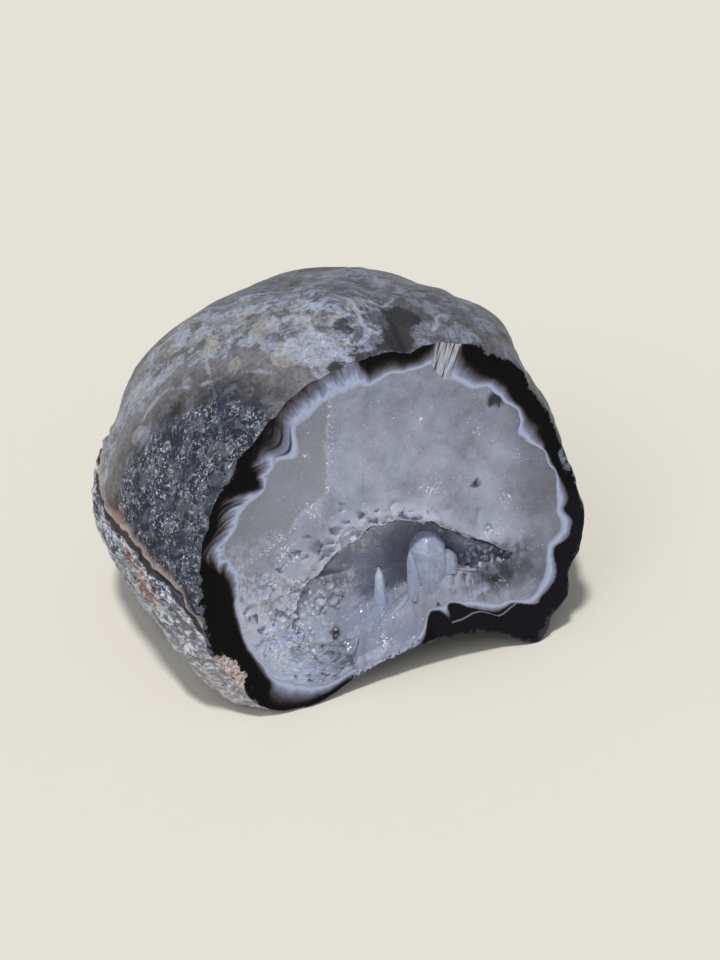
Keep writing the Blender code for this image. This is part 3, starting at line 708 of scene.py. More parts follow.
@dataclass(frozen=True)
class QuartzZones:
    """Zones of the quartz, from 0 to 1, by where they are seen on the face.

    Attributes:
        hollow: The hollow among them.
        veil_edge: Edge between the darker and the lighter sawn quartz.
        pits: Place, radius and depth of the pits above the hollow's lip.
        black_spots: Place and radius of the black inclusions.
        glints: Place and spread of the places where painted glints of small faces go.
        most_relief: Most depth that facets and pits add, in millimetres, less than the layer's thickness.
        ridge_line: Row of crystals at the foot of the hollow's back wall.
        chip_reach: Place across and height of the chipped band above the lip.
        bevel_width: Place across and width of the pale bevel at the lip.
    """

    hollow: Hollow
    veil_edge: Table = (
        (-7.0, 41.0), (-7.4, 36.5), (-7.7, 33.5), (-7.7, 31.5), (-8.5, 29.9), (-8.7, 27.6), (-9.7, 26.5),
        (-11.0, 25.9), (-12.4, 24.9), (-13.6, 23.4), (-16.0, 22.4), (-19.0, 20.8), (-23.0, 19.8),
    )
    pits: Table = (
        (-4.4, 23.44, 0.75, 0.6), (-6.88, 24.92, 0.5, 0.35), (-2.16, 23.65, 0.5, 0.45), (-0.4, 22.5, 0.4, 0.4),
        (-7.88, 22.1, 0.9, 0.7), (-10.5, 20.6, 0.95, 0.7), (-13.6, 20.42, 1.1, 0.8), (2.4, 22.3, 0.35, 0.3),
        (-6.4, 22.9, 0.5, 0.4), (-3.3, 22.5, 0.4, 0.4), (-9.1, 21.2, 0.5, 0.45), (-11.6, 22.4, 0.6, 0.35),
        (-15.6, 19.0, 0.8, 0.5), (12.6, 17.4, 0.8, 0.4),
    )
    black_spots: Table = (
        (11.35, 23.65, 0.55), (11.0, 23.75, 0.35), (14.9, 34.3, 0.95), (15.5, 34.9, 0.7), (14.3, 33.9, 0.6),
        (15.3, 33.5, 0.5), (-9.34, 8.62, 0.8), (5.0, 9.0, 0.3),
    )
    glints: Table = (
        (12.1, 30.5, 0.7), (17.3, 25.7, 0.6), (5.3, 24.5, 1.3), (15.4, 20.7, 1.0), (-7.5, 34.4, 0.6),
        (-10.9, 32.7, 0.4), (-11.1, 25.6, 1.0), (-14.6, 21.0, 1.7), (-15.0, 22.9, 1.0), (-10.3, 25.1, 0.8),
        (-14.4, 16.5, 1.0), (12.4, 17.2, 1.1), (5.6, 19.7, 0.8), (8.5, 14.6, 0.8), (13.7, 9.8, 0.5),
        (-13.9, 13.9, 1.8), (-16.1, 13.1, 1.3), (-15.3, 10.8, 1.7), (-3.0, 6.0, 1.2), (0.5, 12.7, 0.6),
        (-10.7, 14.8, 0.6), (-5.9, 20.5, 0.7), (4.5, 33.8, 0.5), (14.0, 16.6, 0.8), (-13.6, 20.4, 1.2),
        (-17.9, 12.2, 1.5), (-11.9, 13.7, 1.2), (2.2, 17.0, 1.0), (9.8, 15.6, 0.9), (-17.0, 8.0, 2.2),
    )
    most_relief: float = 1.0
    ridge_line: Table = (
        (-14.0, 17.2), (-12.6, 16.7), (-11.3, 16.36), (-10.86, 14.32), (-8.68, 13.99), (-7.79, 14.03), (-6.56, 12.12),
        (-4.21, 12.55), (-3.67, 12.58), (-1.84, 10.96), (-0.44, 10.48), (0.79, 12.12), (1.3, 13.2), (6.8, 16.25),
        (11.01, 16.24), (14.21, 14.36), (17.0, 13.5),
    )
    chip_reach: Table = (
        (-16.0, 3.4), (-12.0, 3.2), (-6.0, 3.0), (0.0, 2.4), (3.5, 1.3), (8.0, 0.5), (12.0, 0.6),
    )
    bevel_width: Table = ((-14.0, 2.0), (-9.0, 1.7), (1.0, 1.0), (4.0, 0.35), (12.0, 0.3))

    def painted_glint_places(self, seen: Array) -> Array:
        """Where painted glints of small faces go: bells around single places, and the edge of the veil."""
        total = np.zeros(len(seen))
        for across, up, spread in self.glints:
            total = np.maximum(total, bell(np.linalg.norm(seen - (across, up), axis=1), spread))
        along_veil = bell(distance_to_path(seen, self.veil_edge), 0.5)
        return np.maximum(total, 0.7 * along_veil)

    def wall_shade(self, seen: Array) -> Array:
        """Painted shade on the back wall of the hollow under the lip, which ends below at the ragged row of crystals.
        """
        above = seen[:, 1] - read_table(seen[:, 0], self.ridge_line)
        ragged = 0.25 * layered_noise(seen, 0.8, 2, 199)
        return ease((above + ragged) / 0.4) * (0.5 + 0.5 * ease((seen[:, 1] - 14.0) / 6.0))

    def painted_row_highlight(self, seen: Array) -> Array:
        """Painted highlight: a bright edge along the ragged row of crystals at the left of the hollow."""
        bent = pushed_about(seen, 0.3, 0.9, 2, (211, 223))
        return 0.55 * bell(distance_to_path(bent, self.ridge_line[1:13]), 0.2)

    def tone(self, seen: Array) -> Array:
        """How pale the quartz is: most over the lip, less towards the top and the right, 1 on the whole."""
        x, y = seen.T
        from_lip = np.hypot((x - 2.0) / 1.5, y - 24.0)
        pale = 0.86 - 0.2 * ease((from_lip - 4.0) / 14.0) * ease((y - 17.0) / 4.0)
        pale = pale - 0.36 * ease((x - 14.0) / 6.0) + 0.18 * bell(self.above_lip(seen) - 1.0, 2.0)
        pale = pale - 0.24 * bell(np.hypot(x - 9.6, y - 19.6), 2.8) - 0.22 * self.tall(seen)
        pale = pale - 0.14 * bell(np.hypot(x - 10.5, y - 33.0), 5.0)
        dappled = np.clip(0.75 + 0.9 * layered_noise(seen, 1.6, 3, 227), 0.0, 1.0)
        pale = pale - 0.75 * dappled * bell(np.hypot((x - 13.5) / 1.5, y - 11.0), 3.2)
        return pale + 0.3 * self.broken(seen) * ease((-9.0 - x) / 3.0)

    def inside(self, seen: Array) -> Array:
        """The hollow, eased in over the first part of its slope."""
        part, _ = self.hollow.part_in(seen)
        return ease(part / 0.06)

    def broken(self, seen: Array) -> Array:
        """Broken quartz with rough facets at the lower left."""
        edge = 17.5 - 0.35 * (seen[:, 0] + 12.0) - seen[:, 1]
        return ease(edge / 3.0 + 0.3) * ease((-5.5 - seen[:, 0]) / 3.0)

    def columns(self, seen: Array) -> Array:
        """Fibrous columns at the lower right."""
        across = ease((seen[:, 0] - 4.5) / 2.5) * ease((19.5 - seen[:, 0]) / 3.0)
        return across * ease((16.0 - seen[:, 1]) / 2.0)

    def veil(self, seen: Array) -> Array:
        """Darker greenish-grey sawn quartz at the upper left, with a crisp edge."""
        limit = read_table(seen[:, 1], np.array(self.veil_edge)[::-1, ::-1])
        jagged = 0.5 * layered_noise(seen, 2.2, 3, 113)
        return ease((limit + jagged - seen[:, 0]) / 0.5)

    def spots(self, seen: Array) -> Array:
        """Black inclusions: a steep bell around each, frayed by noise."""
        frayed = pushed_about(seen, 0.35, 0.5, 1, (127, 131))
        total = np.zeros(len(seen))
        for across, up, radius in self.black_spots:
            away = np.linalg.norm(frayed - (across, up), axis=1)
            total = np.maximum(total, ease(1.45 - 1.05 * away / radius))
        return total

    def above_lip(self, seen: Array) -> Array:
        """Distance above the sheer lip of the hollow, and far off elsewhere."""
        part, edge = self.hollow.part_in(seen)
        away = np.linalg.norm(seen - edge[:, :2], axis=1)
        return np.where((part < 0.0) & (edge[:, 2] > 0.45), away, 9.0)

    def chipped(self, seen: Array) -> Array:
        """Chipped band above the lip, widest at its left, from 0 to 1."""
        reach = read_table(seen[:, 0], self.chip_reach)
        ragged = 0.8 * layered_noise(seen, 1.4, 2, 137)
        return ease((reach + ragged - self.above_lip(seen)) / 0.5)

    def bevel(self, seen: Array) -> Array:
        """Pale broken bevel right at the lip, from 0 to 1."""
        ragged = 0.35 * layered_noise(seen, 0.9, 2, 139)
        width = read_table(seen[:, 0], self.bevel_width)
        return ease((width + ragged - self.above_lip(seen)) / 0.35)

    def pit_depth(self, seen: Array) -> Array:
        """Depth of the pits: a sharp-sided chip around each, with a flat leaning facet as its floor."""
        total = np.zeros(len(seen))
        bent = pushed_about(seen, 0.45, 0.7, 1, (137, 139))
        for number, (across, up, radius, depth) in enumerate(self.pits):
            way = bent - (across, up)
            lean = 1.0 + 0.5 * (way @ np.array([math.cos(2.4 * number), math.sin(2.4 * number)])) / radius
            away = np.maximum(np.abs(way[:, 0] + 0.3 * way[:, 1]), np.abs(way[:, 1]) + 0.4 * np.abs(way[:, 0]))
            total = np.maximum(total, depth * lean * ease(2.6 - 2.6 * away / radius))
        return total

    def relief(self, seen: Array) -> Array:
        """Depth that facets, columns and pits add to the plain quartz, deeper above nought.

        Args:
            seen: Places seen on the face.

        Returns:
            Added depth in millimetres.
        """
        inside = self.inside(seen)
        broken = self.broken(seen) * (1.0 - inside)
        columns = self.columns(seen)
        tall = self.tall(seen) * (1.0 - 0.5 * columns)
        rough = facets(seen, 1.7, 0.6, 149) + facets(seen, 0.7, 0.55, 151)
        smooth_wall = ease((seen[:, 1] - 12.0) / 4.0)
        wall = 0.45 * layered_noise(seen, 3.2, 3, 157)
        wall = wall + (1.0 - 0.95 * smooth_wall) * facets(seen, 1.6, 0.25, 163)
        strands = facets(seen @ np.array([[1.0, 0.12], [0.0, 0.24]]), 0.8, 0.8, 167)
        slabs = 0.28 * layered_noise(seen, 2.8, 2, 169) + 0.16 * layered_noise(seen * (1.0, 0.22), 0.9, 3, 171)
        faint = 0.012 * layered_noise(seen, 0.8, 3, 173)
        chips = facets(seen @ np.array([[0.8, 0.5], [-0.5, 0.8]]), 1.5, 0.6, 171)
        chipped = self.chipped(seen) * np.maximum(chips + 0.04, 0.0) + self.bevel(seen) * (0.6 + chips)
        added = broken * (0.35 + 0.6 * rough) + inside * wall * (1.0 - tall) + columns * 0.5 * strands
        added = added + tall * (0.2 + slabs) + 0.3 * self.grooves(seen)
        added = added + (self.pit_depth(seen) * 0.7 + chipped) * (1.0 - inside) + faint
        return np.minimum(added, self.most_relief)

    def tall(self, seen: Array) -> Array:
        """Large smooth upright crystals at the bottom, from 0 to 1."""
        across = ease((seen[:, 0] + 14.5) / 2.5) * ease((6.5 - seen[:, 0]) / 2.0)
        return across * ease((12.5 - seen[:, 1]) / 1.5)

    def grooves(self, seen: Array) -> Array:
        """Shallow grooves beside the rounded tongue at the right of the lip."""
        left = bell(distance_to_path(seen, ((5.2, 21.6), (6.2, 20.2), (6.6, 18.8))), 0.35)
        right = bell(distance_to_path(seen, ((11.4, 20.0), (10.9, 18.4), (11.3, 16.6))), 0.4)
        return np.maximum(left, right)


def operator(operation: str, reflected: bool = False) -> Callable[[Wire, Wire | float], Wire]:
    """Operator of wires: one Math node for the two values, or for the two the other way round.

    Args:
        operation: Name of the Math node's operation.
        reflected: Whether the wire is the second of the two values.

    Returns:
        The operator, as a method of Wire.
    """

    def operate(self: Wire, other: Wire | float) -> Wire:
        """The operation on this value and another."""
        return self.bench.maths(operation, *((other, self) if reflected else (self, other)))

    return operate


class Wire:
    """Output of a shader node that takes part in plain arithmetic."""

    def __init__(self, bench: MaterialBench, socket: bpy.types.NodeSocket) -> None:
        """Keep the socket and the bench that new nodes are laid on."""
        self.bench = bench
        self.socket = socket

    __add__, __radd__ = operator("ADD"), operator("ADD", reflected=True)
    __sub__, __rsub__ = operator("SUBTRACT"), operator("SUBTRACT", reflected=True)
    __mul__, __rmul__ = operator("MULTIPLY"), operator("MULTIPLY", reflected=True)
    __truediv__ = operator("DIVIDE")


class MaterialBench:
    """Bench on which the nodes of one material are laid and joined."""

    def __init__(self, name: str) -> None:
        """Start an empty material.

        Args:
            name: Name of the material.
        """
        self.material = bpy.data.materials.new(name)
        self.material.use_nodes = True
        self.tree = self.material.node_tree
        self.tree.nodes.clear()
        self.output = self.tree.nodes.new("ShaderNodeOutputMaterial")

    def feed(self, socket: bpy.types.NodeSocket, value: Any) -> None:
        """Link a wire to a socket, or set the socket's own value."""
        if isinstance(value, Wire):
            self.tree.links.new(value.socket, socket)
        else:
            socket.default_value = value

    def node(
        self,
        kind: str,
        settings: dict[str, Any] | None = None,
        inputs: dict[Any, Any] | None = None,
        output: Any = 0,
    ) -> Wire:
        """Lay one node.

        Args:
            kind: Type of the node.
            settings: Settings of the node, with a ramp's stops under "stops".
            inputs: Values or wires by the name or number of the socket.
            output: Name or number of the output that is wanted.

        Returns:
            That output.
        """
        node = self.tree.nodes.new(kind)
        for key, value in (settings or {}).items():
            if key == "stops":
                self.fill_ramp(node.color_ramp, value)
            else:
                setattr(node, key, value)
        for key, value in (inputs or {}).items():
            self.feed(node.inputs[key], value)
        return Wire(self, node.outputs[output])

    def fill_ramp(self, ramp: bpy.types.ColorRamp, stops: Sequence[tuple[float, Colour]]) -> None:
        """Put stops of place and colour into a colour ramp."""
        while len(ramp.elements) < len(stops):
            ramp.elements.new(0.5)
        for element, (place, colour) in zip(ramp.elements, stops):
            element.position = place
            element.color = (*colour, 1.0)

    def maths(self, operation: str, *values: Wire | float) -> Wire:
        """One operation on numbers."""
        return self.node("ShaderNodeMath", {"operation": operation}, dict(enumerate(values)))

    def place(self) -> Wire:
        """Place on the piece, in metres."""
        return self.node("ShaderNodeTexCoord", output="Object")

    def mark(self, name: str) -> Wire:
        """Value of one of the piece's own attributes."""
        return self.node("ShaderNodeAttribute", {"attribute_name": name}, output="Fac")

    def mark_place(self, name: str) -> Wire:
        """Vector of one of the piece's own attributes."""
        return self.node("ShaderNodeAttribute", {"attribute_name": name}, output="Vector")

    def stretched(self, at: Wire, scale: Triple) -> Wire:
        """Vector times a scale, axis by axis."""
        return self.node("ShaderNodeVectorMath", {"operation": "MULTIPLY"}, {0: at, 1: scale})

    def noise(self, at: Wire, size: float, detail: float = 3.0, roughness: float = 0.55, bend: float = 0.0) -> Wire:
        """Noise from 0 to 1.

        Args:
            at: Where it is read.
            size: Size of its lumps in millimetres.
            detail: How many finer layers it has.
            roughness: How strong they are.
            bend: How far it bends itself.

        Returns:
            Its value.
        """
        inputs = {
            "Vector": at, "Scale": 1.0 / (size * MM), "Detail": detail, "Roughness": roughness, "Distortion": bend,
        }
        return self.node("ShaderNodeTexNoise", None, inputs, "Fac")

    def facet_tilt(self, at: Wire, size: float) -> Wire:
        """Height of small flat facets: each cell's way from its middle against a random direction."""
        inputs = {"Vector": at, "Scale": 1.0 / (size * MM), "Randomness": 1.0}
        cells = self.tree.nodes.new("ShaderNodeTexVoronoi")
        for key, value in inputs.items():
            self.feed(cells.inputs[key], value)
        scaled = self.stretched(at, (1.0 / (size * MM),) * 3)
        middle = self.stretched(Wire(self, cells.outputs["Position"]), (1.0 / (size * MM),) * 3)
        way = self.node("ShaderNodeVectorMath", {"operation": "SUBTRACT"}, {0: scaled, 1: middle})
        lean = self.node(
            "ShaderNodeVectorMath", {"operation": "SUBTRACT"}, {0: Wire(self, cells.outputs["Color"]), 1: (0.5,) * 3}
        )
        return self.node("ShaderNodeVectorMath", {"operation": "DOT_PRODUCT"}, {0: way, 1: lean}, "Value")

    def between(self, value: Wire, low: float, high: float) -> Wire:
        """Ease from 0 at low to 1 at high."""
        inputs = {"Value": value, "From Min": low, "From Max": high}
        return self.node("ShaderNodeMapRange", {"interpolation_type": "SMOOTHSTEP"}, inputs)

    def flecks(self, at: Wire, low: float, high: float, *kind: float) -> Wire:
        """Noise of a size, detail, roughness and bend, eased from 0 at low to 1 at high."""
        return self.between(self.noise(at, *kind), low, high)

    def ramp(self, value: Wire, stops: Sequence[tuple[float, Colour]]) -> Wire:
        """Colour along stops of place and colour."""
        return self.node("ShaderNodeValToRGB", {"stops": stops}, {"Fac": value})

    def blend(self, mask: Wire | float, first: Any, second: Any) -> Wire:
        """Colour between two, the second where the mask is 1."""
        pair = [value if isinstance(value, Wire) else (*value, 1.0) for value in (first, second)]
        return self.node("ShaderNodeMix", {"data_type": "RGBA"}, {0: mask, 6: pair[0], 7: pair[1]}, 2)

    def shade(self, amount: Wire, colour: Any) -> Wire:
        """Colour times a grey amount."""
        grey = self.node("ShaderNodeCombineXYZ", None, {0: amount, 1: amount, 2: amount})
        settings = {"data_type": "RGBA", "blend_type": "MULTIPLY"}
        return self.node("ShaderNodeMix", settings, {0: 1.0, 6: colour, 7: grey}, 2)

    def bump(self, height: Wire, depth: float, strength: float = 1.0) -> Wire:
        """Normal of a bumpy surface.

        Args:
            height: Height from 0 to 1.
            depth: Height of the bumps in millimetres.
            strength: How much of it shows.

        Returns:
            The normal.
        """
        return self.node("ShaderNodeBump", None, {"Height": height, "Distance": depth * MM, "Strength": strength})

    def finish(self, **inputs: Any) -> bpy.types.Material:
        """Close the material with its surface shader.

        Args:
            inputs: Values or wires by the name of the shader's socket, with _ for a blank.

        Returns:
            The finished material.
        """
        named = {key.replace("_", " "): value for key, value in inputs.items()}
        shader = self.node("ShaderNodeBsdfPrincipled", None, named)
        self.tree.links.new(shader.socket, self.output.inputs["Surface"])
        return self.material


@dataclass(frozen=True)
class WeatheredAgate:
    """Outside of the stone: worn agate bands around a dark grainy cap, and scaly outer skin.

    Attributes:
        rings: Colour at each angle in degrees from the dark pole.
        speck: Colour of the pale crystal specks in the dark grain.
        rust_tint: Colour of the rust stains.
    """

    rings: tuple[tuple[float, Colour], ...] = (
        (0.0, (0.01, 0.015, 0.034)), (22.0, (0.01, 0.014, 0.03)), (26.0, (0.048, 0.047, 0.058)),
        (31.0, (0.125, 0.116, 0.124)), (36.0, (0.205, 0.195, 0.212)), (37.5, (0.135, 0.13, 0.145)),
        (38.5, (0.33, 0.36, 0.46)), (41.5, (0.26, 0.27, 0.31)), (43.5, (0.37, 0.4, 0.51)),
        (45.0, (0.215, 0.215, 0.235)), (48.5, (0.3, 0.31, 0.345)), (50.0, (0.37, 0.41, 0.53)),
        (52.5, (0.2, 0.198, 0.21)), (55.5, (0.29, 0.295, 0.325)), (57.0, (0.33, 0.375, 0.5)),
        (59.5, (0.115, 0.115, 0.135)), (62.0, (0.27, 0.3, 0.4)), (64.0, (0.075, 0.078, 0.098)),
        (67.0, (0.17, 0.19, 0.26)), (69.0, (0.055, 0.058, 0.075)), (73.0, (0.205, 0.218, 0.27)),
        (77.0, (0.095, 0.096, 0.115)), (84.0, (0.225, 0.243, 0.305)), (88.0, (0.1, 0.1, 0.118)),
        (98.0, (0.16, 0.17, 0.21)), (104.0, (0.07, 0.07, 0.082)), (120.0, (0.15, 0.156, 0.185)),
        (135.0, (0.065, 0.065, 0.076)), (150.0, (0.135, 0.14, 0.165)), (180.0, (0.06, 0.06, 0.072)),
    )
    speck: Colour = (0.7, 0.73, 0.82)
    rust_tint: Colour = (0.5, 0.17, 0.035)

    def build(self) -> bpy.types.Material:
        """Lay out the material."""
        bench = MaterialBench("weathered_agate")
        at = bench.place()
        grain = bench.mark("grain")
        skin = bench.mark("skin")
        warp = bench.noise(at, 7.0, 3.0) - 0.5
        fine = bench.noise(at, 2.0, 6.0, 0.68) - 0.5
        turned = bench.mark("ring") + warp * 16.0 + fine * 13.0
        base = bench.ramp(turned / 180.0, [(deg / 180.0, colour) for deg, colour in self.rings])
        worn = bench.between(turned, 36.0, 40.0)
        near = worn * (1.0 - bench.between(turned, 62.0, 70.0))
        dull = bench.flecks(at, 0.515, 0.55, 2.6, 6.0, 0.66, 0.8)
        base = bench.blend(dull * worn * 0.72, base, (0.082, 0.077, 0.084))
        pale = bench.flecks(at, 0.54, 0.585, 2.8, 7.0, 0.66, 0.6)
        base = bench.blend(pale * (0.22 * worn + 0.4 * near), base, (0.42, 0.475, 0.64))
        cream = bench.flecks(at, 0.54, 0.59, 4.0, 4.0, 0.6) * near
        curdled = bench.between(bench.mark("cream") + fine * 1.5, 0.35, 0.75)
        base = bench.blend(cream * 0.4 + curdled * 0.6, base, (0.36, 0.352, 0.318))
        clotted = bench.between(bench.mark("pale") + fine * 1.3, 0.22, 0.55)
        base = bench.blend(clotted * 0.52, base, (0.43, 0.48, 0.63))
        muddy = bench.flecks(at, 0.5, 0.57, 2.2, 6.0, 0.7, 0.4) * (1.0 - worn)
        base = bench.blend(muddy * 0.45, base, (0.2, 0.205, 0.245))
        contour = bench.maths("SINE", turned * 4.4) * worn
        sugar = bench.noise(at, 0.55, 6.0, 0.8)
        base = bench.shade(2.7 * sugar + 0.12 * contour - 0.38, base)
        # Painted shade: the half of the outside turned from the light is darkened by up to a half.
        base = bench.shade(1.0 - 0.5 * bench.mark("dull"), base)
        lines = bench.between(bench.mark("line") + (sugar - 0.5) * 1.1, 0.25, 0.8)
        base = bench.blend(lines * 0.45, base, (0.5, 0.55, 0.69))
        dark = bench.between(bench.mark("dark") + fine * 1.5 + (sugar - 0.5) * 1.6, 0.3, 0.58)
        base = bench.blend(dark * 0.94, base, (0.014, 0.013, 0.014))
        base = self.dark_grain(bench, at, base, grain)
        base = bench.blend(skin, base, self.skin_colour(bench, at, sugar))
        rust = bench.mark("rust") * bench.flecks(at, 0.42, 0.6, 0.7, 5.0, 0.7)
        base = bench.blend(rust * 0.9, base, self.rust_tint)
        crack = bench.between(bench.mark("crack") + (sugar - 0.5) * 1.4, 0.35, 0.6)
        base = bench.blend(crack * 0.92, base, (0.009, 0.008, 0.008))
        rough = 0.4 + 0.25 * grain + 0.15 * skin
        height = sugar * (0.45 + 0.55 * grain) + 0.6 * bench.noise(at, 1.2, 4.0) * skin
        return bench.finish(
            Base_Color=base, Roughness=rough, Specular_IOR_Level=0.4, Normal=bench.bump(height, 0.3, 0.9)
        )

    def dark_grain(self, bench: MaterialBench, at: Wire, base: Wire, grain: Wire) -> Wire:
        """Dark grain: blue patches, a grey net of small crystals and a few bright ones."""
        blue = bench.flecks(at, 0.5, 0.62, 3.0, 4.0, 0.6) * grain
        base = bench.blend(blue * 0.6, base, (0.022, 0.036, 0.08))
        cluster = bench.flecks(at, 0.4, 0.58, 3.4, 4.0, 0.6)
        net = bench.flecks(at, 0.53, 0.57, 0.85, 7.0, 0.8, 0.6) * grain
        base = bench.blend(net * (0.04 + 0.72 * cluster), base, (0.25, 0.28, 0.36))
        pale = bench.flecks(at, 0.57, 0.62, 2.4, 7.0, 0.75, 0.8) * grain
        base = bench.blend(pale * 0.26, base, (0.3, 0.355, 0.49))
        specks = bench.flecks(at, 0.555, 0.605, 0.42, 4.0, 0.8) * grain
        return bench.blend(specks * (0.06 + 0.9 * cluster), base, self.speck)

    def skin_colour(self, bench: MaterialBench, at: Wire, sugar: Wire) -> Wire:
        """Scaly outer skin: black and white veins drawn out along it, pink low down, tan where it has rusted."""
        drawn = bench.stretched(at, (1.1, 0.55, 1.3))
        tone = bench.noise(drawn, 1.5, 7.0, 0.72, 0.9) + 0.35 * (sugar - 0.5)
        colour = bench.ramp(
            tone,
            [
                (0.0, (0.01, 0.012, 0.018)), (0.425, (0.018, 0.022, 0.034)), (0.455, (0.14, 0.18, 0.27)),
                (0.495, (0.38, 0.43, 0.54)), (0.54, (0.72, 0.75, 0.82)), (1.0, (0.9, 0.9, 0.93)),
            ],
        )
        veins = bench.flecks(drawn, 0.5, 0.545, 0.8, 6.0, 0.75, 0.5)
        colour = bench.blend(veins * 0.72, colour, (0.022, 0.024, 0.034))
        height = bench.node("ShaderNodeSeparateXYZ", None, {0: at}, 2)
        low = 1.0 - bench.between(height + (tone - 0.5) * 0.03, 0.004, 0.013)
        pink = bench.flecks(at, 0.5, 0.58, 3.2, 4.0, 0.6)
        colour = bench.blend(low * 0.36 + pink * 0.14, colour, (0.63, 0.56, 0.6))
        ledge = bench.between(bench.mark("ledge") + (tone - 0.5) * 1.8, 0.3, 0.6)
        return bench.blend(ledge * 0.8, colour, (0.5, 0.38, 0.33))


@dataclass(frozen=True)
class SawnRind:
    """Sawn rim: almost black, fading through brown into a pale band beside the quartz.

    Attributes:
        bands: Colour at each part of the way from the outer edge, 0, over the end of the black, 0.5, to
            the quartz, 1.
    """

    bands: tuple[tuple[float, Colour], ...] = (
        (0.0, (0.003, 0.003, 0.004)), (0.48, (0.0035, 0.0035, 0.0045)), (0.54, (0.016, 0.013, 0.012)),
        (0.61, (0.06, 0.053, 0.058)), (0.7, (0.14, 0.142, 0.18)), (0.8, (0.25, 0.282, 0.395)),
        (0.9, (0.465, 0.535, 0.74)), (0.96, (0.405, 0.452, 0.61)), (1.0, (0.31, 0.336, 0.43)),
    )

    def build(self) -> bpy.types.Material:
        """Lay out the material."""
        bench = MaterialBench("sawn_rind")
        at = bench.place()
        around = bench.mark_place("around")
        band = bench.mark("band")
        folds = self.folds(bench, around, 22.0)
        hatch = self.folds(bench, around, 70.0)
        pale = bench.between(band, 0.44, 0.6) * (1.0 - bench.between(band, 0.88, 1.0))
        pushed = ((folds - 0.5) * 0.8 + (hatch - 0.5) * 0.08) * pale * bench.mark("pleats")
        cloudy = (bench.noise(at, 1.1, 4.0, 0.62) - 0.5) * 0.16 * pale
        base = bench.ramp(band + pushed + cloudy, self.bands)
        streaks = bench.ramp(
            bench.noise(bench.stretched(around, (95.0, 95.0, 0.15)), 1000.0, 2.0, 0.6),
            [
                (0.38, (0.06, 0.045, 0.036)), (0.44, (0.19, 0.16, 0.13)), (0.47, (0.5, 0.53, 0.64)),
                (0.52, (0.42, 0.44, 0.54)), (0.545, (0.15, 0.12, 0.095)), (0.58, (0.55, 0.59, 0.72)),
            ],
        )
        base = bench.blend(bench.mark("streaks"), base, streaks)
        base = bench.blend(bench.mark("nested"), base, (0.008, 0.007, 0.007))
        lifted = bench.mark("lifted") * (1.0 - bench.between(band, 0.46, 0.56))
        base = bench.blend(lifted, base, (0.0075, 0.0075, 0.0115))
        crumbs = bench.noise(at, 0.8, 5.0, 0.75) - 0.5
        fringe = 1.0 - bench.between(band + crumbs * 0.42, 0.015, 0.06)
        base = bench.blend(fringe * (0.8 - 0.55 * bench.mark("lifted")), base, (0.15, 0.16, 0.205))
        seam = bench.mark("seam")
        thin = 1.0 - bench.between(bench.maths("ABSOLUTE", seam), 0.06, 0.2)
        base = bench.blend(thin * 0.75, base, (0.26, 0.275, 0.36))
        ragged = (bench.noise(at, 1.1, 4.0, 0.7) - 0.5) * 1.5
        matrix = bench.ramp(
            bench.noise(at, 0.45, 4.0, 0.75),
            [
                (0.3, (0.07, 0.05, 0.045)), (0.44, (0.3, 0.22, 0.2)),
                (0.52, (0.58, 0.5, 0.48)), (0.66, (0.8, 0.74, 0.72)),
            ],
        )
        base = bench.blend(bench.between(bench.mark("matrix") + ragged, 0.45, 0.6), base, matrix)
        slate = bench.ramp(bench.noise(at, 0.6, 4.0, 0.6), [(0.38, (0.02, 0.025, 0.035)), (0.62, (0.22, 0.27, 0.34))])
        base = bench.blend(bench.between(bench.mark("slate") + ragged, 0.45, 0.65) * 0.85, base, slate)
        chips = bench.flecks(at, 0.47, 0.55, 0.55, 4.0, 0.75) * bench.mark("specks")
        base = bench.blend(chips, base, (0.012, 0.01, 0.01))
        height = bench.noise(at, 0.6, 4.0)
        return bench.finish(
            Base_Color=base, Roughness=0.5, Specular_IOR_Level=0.08, Normal=bench.bump(height, 0.05, 0.6)
        )

    def folds(self, bench: MaterialBench, around: Wire, turns: float) -> Wire:
        """Noise in stripes across the rim, so many to a radian, which bend a little along the way."""
        return bench.noise(bench.stretched(around, (turns, turns, 0.3)), 1.0 / MM, 2.0, 0.55, 0.35)


class QuartzCut(Enum):
    """How the quartz surface was made."""

    SAWN = "sawn"
    BROKEN = "broken"
    GROWN = "grown"


